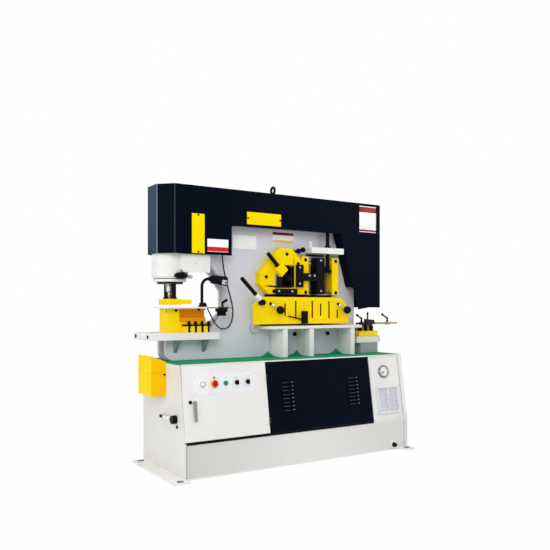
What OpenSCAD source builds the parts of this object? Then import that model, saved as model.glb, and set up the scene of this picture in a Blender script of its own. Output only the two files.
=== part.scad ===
// Hydraulic ironworker: punch on the left, section and flat shears in the middle, notcher on the right.
// X runs along the front, Y to the back, Z up. The origin is on the floor, under the middle of the base.

/* [Base] */
// Length of the base along the front
base_l = 1800; // [1700:10:2000]
// Depth of the base
base_d = 700; // [660:10:800]
// Height of the deck above the floor
base_h = 693; // [640:1:760]
// Thickness of the floor plate
plate_t = 12; // [8:1:20]
// Reach of the left anchor ear beyond the base
ear_w = 104; // [80:1:160]
// Reach of the left ear beyond the front
ear_front = 65; // [50:1:100]
// Set-back of the left ear from the back
ear_back = 60; // [20:1:120]
// Reach of the right anchor tabs beyond the front and back
tab_out = 75; // [60:1:100]
// Width of the right anchor tabs
tab_w = 82; // [60:1:120]
// Radius of an anchor hole
anchor_r = 11; // [6:0.5:14]
// Height of the upright skirt of the front
skirt_h = 222; // [180:1:260]
// Set-back of the sloping front over its height
front_lean = 72; // [40:1:110]
// Thickness of the folded front panels
panel_t = 20; // [14:1:28]
// Thickness of the cabinet sheet
sheet_t = 5; // [3:0.5:8]
// Thickness of the deck mat
deck_t = 5; // [3:0.5:8]

/* [Front panels] */
// Width of the control door
door_w = 597; // [560:1:640]
// Width of the white tank panel
tank_panel_w = 320; // [300:1:380]
// Joint between two front panels
panel_gap = 7; // [6:0.5:10]
// Rim of the cabinet around a front opening
front_rim = 40; // [30:1:50]
// Louvres in one column
louvre_n = 8; // [4:1:10]
// Width of a louvre
louvre_w = 88; // [60:1:110]
// Rise from one louvre to the next
louvre_pitch = 26; // [20:1:30]
// Height of a louvre
louvre_h = 14; // [8:1:18]
// Width of the vent grille
grille_w = 208; // [160:1:240]
// Gap from the vent grille up to the oil gauge
grille_gap = 66; // [40:1:80]
// Slats of the vent grille
slat_n = 12; // [6:1:14]
// Radius of the oil gauge
gauge_r = 46; // [36:1:56]

/* [Controls] */
// Width of the control plate
control_w = 450; // [430:1:480]
// Height of the control plate
control_h = 123; // [110:1:140]
// Spacing of the buttons
button_pitch = 80; // [64:1:88]
// Radius of the emergency stop head
estop_r = 20; // [16:0.5:26]
// Radius of the start button
start_r = 12; // [9:0.5:16]
// Radius of a selector knob
selector_r = 15; // [11:0.5:20]
// Length of the door handle
handle_l = 104; // [80:1:130]
// Running clearance of buttons, stems and pins
run_clear = 0.5; // [0.4:0.1:0.8]

/* [Left side] */
// Reach of the slug box from the side
bin_w = 100; // [80:1:140]
// Depth of the slug box along the side
bin_d = 227; // [180:1:260]
// Height of the slug box at its outer wall
bin_h = 255; // [200:1:300]
// Drop of its rim towards the cabinet
bin_drop = 38; // [10:1:60]
// Length of the isolator handle
isolator_l = 185; // [120:1:220]

/* [Frame] */
// Distance of the frame from the middle of the base
frame_front = 50; // [30:1:70]
// Thickness of a cheek plate
cheek_t = 30; // [24:1:40]
// Gap between the cheek plates
cheek_gap = 80; // [70:1:100]
// Left end of the lower jaw
frame_left = 862; // [840:1:880]
// Right end of the frame
frame_right = 716; // [690:1:730]
// Position of the back of the throat, left of the middle
throat_x = 405; // [380:1:430]
// Height of the upper jaw above the deck
jaw_high = 647; // [620:1:680]
// Rounding of the lower jaw
jaw_r = 50; // [30:1:70]

/* [Covers] */
// Height of the covers' top above the deck
cover_top = 1153; // [1120:1:1200]
// Sheet thickness of the covers
cover_t = 4; // [2:0.5:6]
// Distance from the frame to the front of the covers
cover_out = 95; // [85:1:110]
// Left end of the left cover's front
cover_left = 838; // [820:1:860]
// Chamfer of the left cover
cover_chamfer = 93; // [70:1:100]
// Seam between the left and middle cover, left of the middle
seam_left = 421; // [410:1:440]
// Seam between the middle and right cover
seam_right = 503; // [490:1:515]
// Right end of the right cover
cover_right = 900; // [885:1:930]
// Lower edge of the left cover above the deck
left_drop = 702; // [690:1:720]
// Lower edge of the middle cover above the deck
middle_drop = 907; // [890:1:940]
// Lower edge of the right cover above the deck
right_drop = 351; // [335:1:370]
// Thickness of the yellow cover plates
badge_t = 3; // [2:0.5:5]

/* [Punch station] */
// Position of the punch axis, left of the middle
punch_x = 802; // [790:1:815]
// Radius of the punch cylinder
barrel_r = 120; // [108:1:126]
// Radius of the ram
ram_r = 35; // [28:1:38]
// Radius of the punch shank
punch_r = 16; // [10:0.5:20]
// Stroke of the punch
punch_stroke = 45; // [30:1:46]
// Height of the punch table above the deck
table_h = 184; // [170:1:200]
// Thickness of the punch table
table_t = 47; // [36:1:56]
// Depth of the punch table
table_d = 296; // [270:1:330]
// Left end of the punch table, left of the middle
table_left = 1000; // [960:1:1040]
// Right end of the punch table, left of the middle
table_right = 507; // [490:1:540]
// Height of the die block
die_h = 160; // [140:1:165]
// Thickness of the gauge plate
gauge_t = 10; // [6:0.5:14]
// Radius of the stripper posts
post_r = 16; // [10:0.5:18]
// Distance of the stripper posts from the punch axis
post_out = 62; // [56:1:66]
// Thickness of the stripper
stripper_t = 38; // [28:1:42]
// Thickness of the guard sheet and gussets
guard_t = 4; // [3:0.5:6]
// Radius of the lamp's neck
neck_r = 10; // [6:0.5:11]
// Diameter of the lamp cable
cable_d = 9; // [7:0.5:10]

/* [Shear stations] */
// Height of the shear table above the deck
shear_h = 219; // [205:1:225]
// Thickness of the shear table
shear_t = 20; // [14:1:26]
// Reach of the shear table from the frame
shear_reach = 168; // [150:1:190]
// Thickness of a table leg
leg_t = 38; // [24:1:50]
// Distance from the frame to the front of the slotted guard
guard_out = 110; // [95:1:125]
// Thickness of the slotted guard
guard_plate_t = 28; // [20:1:36]
// Gap under the slotted guard
guard_gap = 14; // [8:1:20]
// Height of the slotted guard
guard_h = 192; // [180:1:200]
// Width of a slot in the guard
slot_w = 12; // [6:0.5:14]
// Thickness of the bar shear plate and the angle posts
block_t = 60; // [50:1:66]
// Radius of the hold-down screw
screw_r = 14; // [8:0.5:16]
// Clearance of the shear slide in the frame
slide_clear = 1.5; // [1:0.1:2.5]
// Stroke of the shear slide
shear_stroke = 70; // [50:1:75]
// Radius of the shear cylinder
shear_barrel_r = 90; // [75:1:95]
// Radius of the shear rod
shear_rod_r = 32; // [24:1:36]
// Radius of the lever knobs
knob_r = 29; // [22:1:34]

/* [Notcher] */
// Height of the notcher table above the deck
notch_h = 124; // [110:1:135]
// Thickness of the notcher table
notch_t = 46; // [36:1:54]
// Height of the notcher die
notch_die_h = 88; // [70:1:95]
// Radius of the gauge rod
rod_r = 7; // [5:0.5:9]

/* [Hidden] */
$fn = 48;

white = "whitesmoke";
grey = "lightsteelblue";
black = "#12151f";
yellow = "gold";
steel = "silver";

// Base
bl = base_l / 2;
bd = base_d / 2;
rail_t = deck_t + 3;
slope_rise = base_h - rail_t - skirt_h;
slope_a = atan(front_lean / slope_rise);
slope_len = slope_rise / cos(slope_a);
ear_y = [-bd - ear_front, bd - ear_back];
left_anchors = [for (y = ear_y) [-bl - ear_w / 2, y + (y < 0 ? 1 : -1) * ear_front / 2]];
right_anchors = [for (s = [-1, 1]) [bl - tab_w / 2, s * (bd + tab_out / 2)]];

// Front panels, along X and up the slope
door_x1 = -bl + door_w;
motor_x0 = door_x1 + panel_gap;
tank_x0 = bl - tank_panel_w;
motor_x1 = tank_x0 - panel_gap;
panel_v0 = panel_gap;
panel_v1 = slope_len - 1;
hinge_x = door_x1 + panel_gap / 2;
hinge_w = 6.5;
knuckle_r = 5;
pin_r = 3;
hinge_vs = [60, slope_len - 130];
knuckle_l = 20;
button_v = slope_len - 120;
button_x0 = door_x1 - 461;
control_plate_t = 2;
button_x = [for (i = [0:4]) button_x0 + i * button_pitch];
handle_x = -bl + 72;
handle_v = slope_len / 2 - 46;
grille_x = tank_x0 + (bl - tank_x0) / 2;
gauge_v = slope_len - 115;
grille_v0 = panel_v0 + 50;
grille_h = gauge_v - gauge_r - grille_gap - grille_v0;
oil_x0 = tank_x0 - 250;
motor_l = 300;
motor_r = 110;
pump_gap = 80;

// Frame
fy0 = frame_front;
fy1 = fy0 + cheek_t;
fy2 = fy1 + cheek_gap;
fy3 = fy2 + cheek_t;
mid = (fy0 + fy3) / 2;
deck = base_h;
frame_top = deck + cover_top - cover_t;
jaw_low_z = deck + table_h - table_t;
throat_low_z = deck + 328;
throat_high_z = deck + 464;
jaw_high_z = deck + jaw_high;
jaw_high_x = -punch_x + barrel_r + 7;
ledge_z = deck + 815;
ledge_x = frame_right - 2 * shear_barrel_r - 30;
cover_y0 = fy0 - cover_out;
cover_y1 = 2 * mid - cover_y0;
cover_z = deck + cover_top;

// Punch station
px = -punch_x;
gland_z = deck + 541;
disc_z = gland_z - 20;
post_z = disc_z - 14;
table_z = deck + table_h;
table_y0 = mid - table_d / 2;
die_z = table_z + die_h;
plate_z = die_z + gauge_t;
nut_l = 46;
nut_r = 29;
stripper_z = plate_z + 15;
stripper_top = stripper_z + stripper_t;
nut_z = stripper_top + punch_stroke + 2;
punch_tip = stripper_top - 20;
die_x0 = px - 46;
die_x1 = px + 242;
bar_y0 = fy0 - 86;
bar_d = 28;
lamp_x = px + 186;
lamp_base_r = 24;
lamp_base_h = 28;
neck_bend = 52;
neck_top = plate_z + 138;
head_tilt = 6;
head_r = 31;
lamp_y = fy0 - head_r - 2;
head_clear = neck_r * sin(head_tilt) + 0.3;
lever_x = px + 321;

// Shear stations
shear_z = deck + shear_h;
guard_y = fy0 - guard_out;
guard_z0 = shear_z + guard_gap;
guard_z1 = guard_z0 + guard_h;
guard_x0 = -253;
guard_x1 = 575;
block_y = fy0 - block_t;
bar_z0 = guard_z1 + 21;
bar_window = [-54, 112];
angle_window = [240, 455];
bar_hole = [0, 66];
angle_hole = [372, 446];
hole_clear = 4;
window_z = [deck + 467, deck + 657];
post_top = deck + 724;
slide_y0 = fy1 + slide_clear;
slide_y1 = fy2 - slide_clear;
slide_z0 = deck + 307;
slide_z1 = ledge_z - shear_stroke;
flat_z0 = shear_z - 7;
flat_z1 = guard_z1 - 20;
slide_x0 = -150;
slide_x1 = ledge_x + 2 * shear_barrel_r;
shear_x = ledge_x + shear_barrel_r + 12;
clamp_dir = 45;
clamp_x = -16;
clamp_z = deck + 622;
clamp_y = block_y - 20;
screw_x = 425;
screw_y = block_y + 15;
screw_foot = deck + 613;
bar_h = 43;
bolt_r = 11;
sink = 8;
bar_low = post_top + 27;

// Notcher
notch_z = deck + notch_h;
notch_die_z = notch_z + notch_die_h;
notch_x0 = frame_right - 40;
notch_y0 = fy0 - 85;
notch_lever_xs = [frame_right + 34, frame_right + 300];
rod_y = fy0 - 50;
rod_z = notch_die_z + rod_r + 8;

// Route of the lamp cable, with heights above the deck
cable_shape = [
    [-455, 30, 709], [-454, 30, 687], [-450, 30, 652], [-444, 29, 612], [-436, 28, 572],
    [-427, 27, 532], [-416, 26, 492], [-404, 26, 452], [-392, 25, 412], [-382, 25, 372],
    [-376, 25, 332], [-377, 25, 292], [-386, 25, 254], [-404, 25, 222], [-432, 25, 204],
    [-464, 24, 204], [-494, 22, 220], [-519, 20, 247], [-538, 18, 277], [-556, 17, 308],
    [-572, 17, 337], [-584, 17, 359]
];
cable_route = [for (p = cable_shape) p + [0, 0, deck]];

// A box between two corners
module box(x, y, z) {
    translate([x[0], y[0], z[0]]) cube([x[1] - x[0], y[1] - y[0], z[1] - z[0]]);
}

// An outline in X and Z, with its thickness along Y
module plate_xz(points, y0, y1) {
    translate([0, y1, 0]) rotate([90, 0, 0]) linear_extrude(y1 - y0) polygon(points);
}

// An outline in Y and Z, with its thickness along X
module plate_yz(points, x0, x1) {
    translate([x0, 0, 0]) rotate([90, 0, 90]) linear_extrude(x1 - x0) polygon(points);
}

// A round bar along Y
module rod_along_y(x, z, r, y0, y1) {
    translate([x, y1, z]) rotate([90, 0, 0]) cylinder(r = r, h = y1 - y0);
}

// The sloping front: X along the base, Y up the slope, Z outwards
module on_slope() {
    translate([0, -bd, skirt_h]) rotate([90 - slope_a, 0, 0]) children();
}

// The Y of a plane that lies d behind the sloping front, at a height
function slope_y(z, d) = -bd + (z - skirt_h) * tan(slope_a) + d / cos(slope_a);

// Points of a round corner
function arc(cx, cy, r, a0, a1, n = 8) =
    [for (i = [0:n]) [cx + r * cos(a0 + (a1 - a0) * i / n), cy + r * sin(a0 + (a1 - a0) * i / n)]];

// Floor plate with anchor ears
module base_plate() {
    color(white) difference() {
        union() {
            box([-bl, bl], [-bd, bd], [0, plate_t]);
            box([-bl - ear_w, -bl + 1], ear_y, [0, plate_t]);
            box([bl - tab_w, bl], [-bd - tab_out, bd + tab_out], [0, plate_t]);
        }
        for (a = concat(left_anchors, right_anchors))
            translate([a[0], a[1], -1]) cylinder(r = anchor_r, h = plate_t + 2);
    }
}

// Folded front: skirt, ledge, sloping frame with two openings, rail and the fixed hinge halves
module cabinet_front() {
    back = panel_t + sheet_t;
    color(white) difference() {
        union() {
            box([-bl, bl], [-bd, -bd + sheet_t], [plate_t, skirt_h]);
            box([-bl, bl], [-bd, slope_y(skirt_h, back) + 2], [skirt_h - sheet_t, skirt_h]);
            on_slope() box([-bl, bl], [0, slope_len + back * tan(slope_a) + 2], [-back, -panel_t]);
            box([-bl, bl], [-bd + front_lean, slope_y(deck, back) + 20], [deck - rail_t, deck - deck_t]);
            box([-bl, bl], [-bd + front_lean, -bd + front_lean + 6], [deck - rail_t, deck]);
            on_slope() for (v = hinge_vs) fixed_knuckle(v);
        }
        on_slope() {
            box([-bl + front_rim, door_x1 - front_rim], [front_rim, slope_len - front_rim],
                [-back - 1, -panel_t + 1]);
            box([motor_x0 + front_rim, motor_x1 - front_rim], [front_rim, slope_len - front_rim],
                [-back - 1, -panel_t + 1]);
        }
    }
}

// Lower half of a door hinge, with its pin
module fixed_knuckle(v) {
    box([hinge_x - 2, hinge_x + 2], [v, v + knuckle_l], [-panel_t - 1, hinge_w]);
    translate([hinge_x, v + knuckle_l, hinge_w]) rotate([90, 0, 0]) cylinder(r = knuckle_r, h = knuckle_l);
    translate([hinge_x, v + 2 * knuckle_l - 2, hinge_w]) rotate([90, 0, 0])
        cylinder(r = pin_r, h = knuckle_l + 4);
}

// Folded sides and back of the cabinet
module cabinet_wrap() {
    back = panel_t + sheet_t;
    top = deck - deck_t;
    ledge_back = slope_y(skirt_h, back) + 2;
    side = [
        [-bd + sheet_t, plate_t], [-bd + sheet_t, skirt_h - sheet_t], [ledge_back, skirt_h - sheet_t],
        [ledge_back, skirt_h], [slope_y(deck - rail_t, back), deck - rail_t],
        [slope_y(deck, back) + 20, deck - rail_t], [slope_y(deck, back) + 20, top], [bd, top], [bd, plate_t]
    ];
    color(white) {
        plate_yz(side, -bl, -bl + sheet_t);
        plate_yz(side, bl - sheet_t, bl);
        box([-bl, bl], [bd - sheet_t, bd], [plate_t, top]);
    }
}

// Green mat on the deck
module deck_plate() {
    color("mediumseagreen") box([-bl, bl], [-bd + front_lean + 6, bd], [deck - deck_t, deck]);
}

// Folded door, with the upper hinge halves and the holes of the controls
module control_door() {
    skin = 3;
    color(white) on_slope() difference() {
        union() {
            difference() {
                box([-bl, door_x1], [panel_v0, panel_v1], [-panel_t, 0]);
                box([-bl + skin, door_x1 - skin], [panel_v0 + skin, panel_v1 - skin], [-panel_t - 1, -skin]);
            }
            for (v = hinge_vs) door_knuckle(v + knuckle_l + run_clear);
        }
        for (v = hinge_vs) translate([hinge_x, v + 3 * knuckle_l, hinge_w]) rotate([90, 0, 0])
            cylinder(r = pin_r + run_clear, h = 3 * knuckle_l);
        control_holes(-panel_t, 1);
        translate([handle_x, handle_v + handle_l / 2, -panel_t]) cylinder(r = 7 + run_clear, h = panel_t + 1);
    }
}

// Upper half of a door hinge
module door_knuckle(v) {
    translate([hinge_x, v + knuckle_l, hinge_w]) rotate([90, 0, 0]) cylinder(r = knuckle_r, h = knuckle_l);
    box([door_x1 - 12, hinge_x], [v, v + knuckle_l], [-1, hinge_w - pin_r - run_clear - 0.5]);
}

// Holes of the moving controls, through the door and its plate
module control_holes(z0, z1) {
    stems = [0, 8, start_r, 6, 6];
    for (i = [1:4]) translate([button_x[i], button_v, z0]) cylinder(r = stems[i] + run_clear, h = z1 - z0);
}

// Plate behind the buttons, with the white lamp and the row of small lamps
module control_plate() {
    color("white") on_slope() difference() {
        union() {
            translate([button_x[2] - control_w / 2, button_v - control_h / 2, 0])
                cube([control_w, control_h, control_plate_t]);
            translate([button_x[0], button_v, 0]) lamp_lens(start_r + 1, 9);
            for (i = [1:4]) translate([button_x[i], button_v + 39, 0]) lamp_lens(5, 6);
        }
        control_holes(-1, control_plate_t + 1);
    }
}

// A lamp's round body with a shallow dome
module lamp_lens(r, h) {
    rotate_extrude() polygon([[0, 0], [r, 0], [r, h * 0.6], [r * 0.8, h * 0.88], [r * 0.4, h], [0, h]]);
}

// Red mushroom head on its stem
module estop_button() {
    color("red") on_slope() translate([button_x[1], button_v, 0]) rotate_extrude()
        polygon([[0, -14], [8, -14], [8, 12], [estop_r * 0.9, 12], [estop_r, 15], [estop_r, 19],
                 [estop_r * 0.75, 25], [estop_r * 0.35, 27.5], [0, 28]]);
}

// Green push button
module start_button() {
    color("green") on_slope() translate([button_x[2], button_v, 0]) rotate_extrude()
        polygon([[0, -14], [start_r, -14], [start_r, 9], [start_r - 1.5, 10.5], [0, 10.5]]);
}

// Selector knob with its grip
module selector(i) {
    z0 = control_plate_t + run_clear;
    color(black) on_slope() translate([button_x[i], button_v, 0]) {
        translate([0, 0, -14]) cylinder(r = 6, h = 15 + z0);
        translate([0, 0, z0]) cylinder(r1 = selector_r, r2 = selector_r - 2, h = 9);
        translate([-4, -selector_r, z0 + 8]) cube([8, 2 * selector_r, 13]);
    }
}

module selector_left() {
    selector(3);
}

module selector_right() {
    selector(4);
}

// Swing handle that turns about its upper end
module door_handle() {
    w = 22;
    color(steel) on_slope() translate([handle_x, handle_v + handle_l / 2, 0]) {
        translate([0, 0, -panel_t + 4]) cylinder(r = 7, h = panel_t);
        translate([0, 0, run_clear]) cylinder(r = w / 2 + 2, h = 12);
        translate([-w / 2, -handle_l, 6]) cube([w, handle_l, 8]);
        translate([0, -handle_l, 6]) cylinder(r = w / 2, h = 8);
    }
}

// Black removable panel with two columns of pressed louvres
module motor_panel() {
    skin = 3;
    low = 139 / cos(slope_a);
    xs = [motor_x0 + 106, motor_x1 - 120 - louvre_w];
    color(black) on_slope() difference() {
        union() {
            box([motor_x0, motor_x1], [panel_v0, panel_v1], [-panel_t, 0]);
            for (x = xs, i = [0:louvre_n - 1]) translate([x, low + i * louvre_pitch, 0]) louvre();
        }
        box([motor_x0 + skin, motor_x1 - skin], [panel_v0 + skin, panel_v1 - skin], [-panel_t - 1, -skin]);
        for (x = xs, i = [0:louvre_n - 1])
            translate([x + 4, low + i * louvre_pitch - 1, -skin - 1]) cube([louvre_w - 8, 3, 9 + skin]);
    }
}

// One louvre: a hood that stands out at its lower edge
module louvre() {
    plate_yz([[0, 0], [0, 11], [4, 11], [louvre_h, 0]], 0, louvre_w);
}

// White framed panel on the right
module tank_panel() {
    skin = 3;
    rim = 24;
    color(white) on_slope() difference() {
        box([tank_x0, bl], [panel_v0, panel_v1], [-panel_t, 0]);
        box([tank_x0 + skin, bl - skin], [panel_v0 + skin, panel_v1 - skin], [-panel_t - 1, -2 * skin]);
        box([tank_x0 + rim / 2, bl - rim], [panel_v0 + rim / 2, panel_v1 - rim / 2], [-skin, 1]);
    }
}

// Round oil gauge with its bezel
module oil_gauge() {
    seat = -3;
    color(steel) on_slope() translate([grille_x - 28, gauge_v, seat]) rotate_extrude()
        polygon([[0, 0], [gauge_r, 0], [gauge_r, 8], [gauge_r - 3, 13], [gauge_r - 7, 13],
                 [gauge_r - 10, 9], [0, 9]]);
}

// Vent grille with its slats
module vent_grille() {
    seat = -3;
    rim = 10;
    x0 = grille_x - grille_w / 2 - 14;
    pitch = (grille_h - 2 * rim) / slat_n;
    color("gainsboro") on_slope() translate([x0, grille_v0, seat]) difference() {
        cube([grille_w, grille_h, 12]);
        translate([rim, rim, 3]) cube([grille_w - 2 * rim, grille_h - 2 * rim, 10]);
    }
    color("gainsboro") on_slope() for (i = [0:slat_n - 1])
        translate([x0 + rim, grille_v0 + rim + i * pitch + 2, seat + 3]) rotate([90, 0, 90])
            linear_extrude(grille_w - 2 * rim) polygon([[0, 0], [pitch * 0.6, 0], [0, 8]]);
}

// Open sheet box that catches the slugs
module slug_box() {
    t = guard_t;
    x0 = -bl - bin_w;
    y0 = fy0 - 95;
    z0 = deck - bin_h + 42;
    rim = [[x0, z0], [-bl, z0], [-bl, z0 + bin_h - bin_drop], [x0, z0 + bin_h]];
    color(yellow) difference() {
        plate_xz(rim, y0, y0 + bin_d);
        box([x0 + t, -bl - t], [y0 + t, y0 + bin_d - t], [z0 + t, z0 + bin_h + 1]);
    }
    color(yellow) box([x0 - 3, x0 + 1], [y0, y0 + bin_d], [z0 + 148, z0 + 156]);
}

// Isolator handle on the left side
module isolator_handle() {
    color(black) translate([-bl, -bd + 149, skirt_h + 128]) rotate([0, -90, 0]) {
        translate([0, 0, run_clear]) cylinder(r = 26, h = 30);
        translate([-9, 0, 16]) cube([18, isolator_l, 14]);
        translate([0, isolator_l, 16]) cylinder(r = 9, h = 14);
    }
}

// Oil tank with its filler cap and return pipe flange
module oil_tank() {
    x = [oil_x0, bl - 60];
    y = [-bd + 150, bd - 60];
    z1 = deck - 190;
    color("slategray") {
        box(x, y, [plate_t, z1]);
        translate([x[0] + 90, y[0] + 90, z1]) cylinder(r = 40, h = 35);
        translate([x[1] - 120, mid, z1]) cylinder(r = 55, h = 18);
    }
}

// Electric motor on its foot, with the pump flanged to its end
module power_unit() {
    r = motor_r;
    z = plate_t + 30 + r;
    bell = 60;
    pump = 90;
    x0 = oil_x0 - pump_gap - pump - bell - motor_l;
    color("steelblue") {
        translate([x0, 0, z]) rotate([0, 90, 0]) rotate_extrude() polygon([
            [0, -40], [r - 22, -40], [r - 8, -26], [r - 8, 0], [r, 0], [r, motor_l], [r * 0.55, motor_l + bell],
            [r * 0.5, motor_l + bell], [r * 0.5, motor_l + bell + pump], [0, motor_l + bell + pump]]);
        box([x0 + 40, x0 + motor_l - 40], [-r, r], [plate_t, z - r / 2]);
        box([x0 + 90, x0 + 200], [-50, 50], [z + r - 12, z + r + 60]);
    }
}

// Mounting plate behind the control door, with rails and switching devices
module electrical_plate() {
    t = 3;
    depth = 165;
    x = [-bl + front_rim, door_x1 - front_rim];
    v = [front_rim, slope_len - front_rim];
    seat = -panel_t - sheet_t;
    color("gainsboro") on_slope() {
        box([x[0] - t, x[1] + t], v, [-depth - t, -depth]);
        box([x[0] - t, x[0]], v, [-depth - t, seat]);
        box([x[1], x[1] + t], v, [-depth - t, seat]);
        for (row = [0:1]) translate([x[0] + 40, v[0] + 70 + row * 160, -depth]) {
            cube([430, 35, 8]);
            for (i = [0:4]) translate([10 + i * 82, -25, 7]) cube([62, 85, 62]);
        }
    }
}

// Outline of a cheek: lower jaw, throat, upper jaw, and the ledge of the shear cylinder
function cheek_outline() = concat(
    arc(-frame_left + jaw_r, deck + jaw_r, jaw_r, 180, 270),
    [
        [frame_right, deck], [frame_right, ledge_z], [ledge_x, ledge_z], [ledge_x, frame_top],
        [jaw_high_x, frame_top], [jaw_high_x, jaw_high_z],
        [-throat_x - (jaw_high_z - throat_high_z) * 0.72, jaw_high_z], [-throat_x, throat_high_z],
        [-throat_x, throat_low_z], [-throat_x - (throat_low_z - jaw_low_z), jaw_low_z],
        [-frame_left, jaw_low_z]
    ]);

// A cheek with the windows of the flat shear and the section shears
module cheek(y0, y1, windows) {
    difference() {
        plate_xz(cheek_outline(), y0, y1);
        box([slide_x0 + 10, 520], [y0 - 1, y1 + 1], [flat_z0, flat_z1]);
        for (w = windows) box(w, [y0 - 1, y1 + 1], window_z);
    }
}

// Front cheek with the terminal box of the lamp cable
module front_cheek() {
    start = cable_route[0];
    color(grey) {
        cheek(fy0, fy1, [[bar_window[0], angle_window[1]]]);
        box([start[0] - 25, start[0] + 25], [start[1] - 14, fy0], [start[2] + 0.4, start[2] + 40]);
    }
}

// Rear cheek with the welded spacers that hold the two plates apart
module rear_cheek() {
    color(grey) {
        cheek(fy2, fy3, [for (h = [bar_hole, angle_hole]) [h[0] - hole_clear, h[1] + hole_clear]]);
        box([-frame_left + jaw_r, frame_right - 60], [fy1, fy2], [deck, jaw_low_z - 30]);
        box([-throat_x + 8, -throat_x + 90], [fy1, fy2], [jaw_low_z, jaw_high_z]);
        box([-throat_x - 60, ledge_x - 10], [fy1, fy2], [frame_top - 90, frame_top]);
    }
}

// Forged lifting eye in the top spacer
module lifting_eye() {
    x = 10;
    ring_r = 24;
    wire_r = 9;
    z = cover_z + ring_r + 2 * wire_r + 12;
    color("dimgray") translate([x, mid, 0]) {
        translate([0, 0, frame_top]) cylinder(r = 11, h = z - frame_top - ring_r + 2);
        translate([0, 0, cover_z]) cylinder(r = 22, h = 12);
        translate([0, 0, z]) rotate([90, 0, 90]) rotate_extrude() translate([ring_r, 0]) circle(r = wire_r);
    }
}

// Plan of the left cover, drawn in by a wall
function left_plan(w) = [
    [-seam_left, cover_y0 + w], [-seam_left, cover_y1 - w], [-cover_left - w * 0.4, cover_y1 - w],
    [-cover_left - cover_chamfer + w, cover_y1 - cover_chamfer - w * 0.4],
    [-cover_left - cover_chamfer + w, cover_y0 + cover_chamfer + w * 0.4],
    [-cover_left - w * 0.4, cover_y0 + w]
];

// Left cover: folded sheet around the punch cylinder, open below and to the right
module left_cover() {
    z0 = deck + left_drop;
    color(black) difference() {
        translate([0, 0, z0]) linear_extrude(cover_z - z0) polygon(left_plan(0));
        translate([0, 0, z0 - 1]) linear_extrude(cover_z - z0 + 1 - cover_t) polygon(concat(
            [[-seam_left + 1, cover_y0 + cover_t], [-seam_left + 1, cover_y1 - cover_t]],
            [for (i = [2:5]) left_plan(cover_t)[i]]));
    }
}

// Middle cover: a hood over the frame
module middle_cover() {
    z0 = deck + middle_drop;
    lip = 25;
    color(black) difference() {
        box([-seam_left, seam_right], [cover_y0, cover_y1], [z0, cover_z]);
        box([-seam_left - 1, seam_right + 1], [cover_y0 + cover_t, cover_y1 - cover_t],
            [z0 + cover_t, cover_z - cover_t]);
        box([-seam_left - 1, seam_right + 1], [cover_y0 + lip, cover_y1 - lip], [z0 - 1, z0 + cover_t + 1]);
        translate([10, mid, cover_z - cover_t - 1]) cylinder(r = 13, h = cover_t + 2);
    }
}

// Front outline of the right cover, drawn in by a wall
function right_front(w) = [
    [seam_right + w, cover_z - w], [cover_right - w, cover_z - w], [cover_right - w, deck + right_drop],
    [seam_right + 284, deck + right_drop], [seam_right + 178 + w, deck + right_drop - 16],
    [seam_right + 7 + w, deck + middle_drop + 6], [seam_right + w, deck + middle_drop + 6]
];

// Right cover: slanting left wall, open below
module right_cover() {
    low = deck + right_drop - 20;
    color(black) difference() {
        plate_xz(right_front(0), cover_y0, cover_y1);
        plate_xz(concat([for (i = [0:1]) right_front(cover_t)[i]],
            [[cover_right - cover_t, low - 20], [seam_right + 179.2 + cover_t, low - 20],
             [seam_right + 7 + cover_t, deck + middle_drop + 6], [seam_right + cover_t, deck + middle_drop + 6]]),
            cover_y0 + cover_t, cover_y1 - cover_t);
        box([seam_right - 1, frame_right + 5], [fy0, fy3], [low - 5, cover_z - cover_t]);
        box([seam_right - 1, seam_right + cover_t + 1], [cover_y0 + 60, cover_y1 - 60],
            [deck + middle_drop + 30, cover_z - cover_t]);
    }
}

// Two yellow plates screwed to the covers
module cover_plates() {
    z = [deck + left_drop + 6, deck + left_drop + 266];
    color(yellow) {
        box([-cover_left + 119, -cover_left + 210], [cover_y0 - badge_t, cover_y0], z);
        box([-seam_left + 117, -seam_left + 394], [cover_y0 - badge_t, cover_y0],
            [deck + middle_drop + 17, deck + middle_drop + 102]);
    }
}

// Cylinder body with its gland and the tongue that bolts between the cheeks
module punch_cylinder() {
    top = gland_z + 420;
    color(white) difference() {
        union() {
            translate([px, mid, 0]) rotate_extrude() polygon(concat(
                [[0, post_z], [86, post_z], [86, disc_z], [barrel_r - 12, disc_z], [barrel_r - 12, gland_z]],
                arc(barrel_r - 22, gland_z + 22, 22, -60, 0, 5),
                [[barrel_r, top], [0, top]]));
            box([px, jaw_high_x + 60], [fy1, fy2], [jaw_high_z + 30, top - 40]);
        }
        translate([px, mid, post_z - 1]) cylinder(r = ram_r + run_clear, h = 260);
    }
}

// Ram with its coupling nut
module punch_ram() {
    color(steel) translate([px, mid, 0]) {
        translate([0, 0, nut_z]) rotate_extrude() polygon([
            [0, 0], [nut_r - 5, 0], [nut_r, 6], [nut_r, nut_l - 6], [nut_r - 3, nut_l - 2], [ram_r - 4, nut_l - 2],
            [ram_r, nut_l + 2], [ram_r, nut_l + 194], [0, nut_l + 194]]);
    }
}

// Punch with its shoulder and tapered shank
module punch() {
    color("tan") translate([px, mid, 0]) rotate_extrude() polygon([
        [0, punch_tip], [punch_r * 0.7, punch_tip], [punch_r * 0.7, punch_tip + 25],
        [punch_r, punch_tip + 45], [punch_r, nut_z], [0, nut_z]]);
}

// Fork that strips the sheet off the punch
module stripper() {
    color(yellow) difference() {
        union() {
            box([px - 46, px + 47], [mid - post_out - 24, mid + post_out + 24], [stripper_z, stripper_top]);
            box([px + 46, px + 118], [mid - post_out - 24, mid - post_out + 16],
                [stripper_z + 6, stripper_top - 4]);
        }
        translate([px, mid, stripper_z - 1]) cylinder(r = punch_r + 8, h = stripper_t + 2);
    }
}

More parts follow.
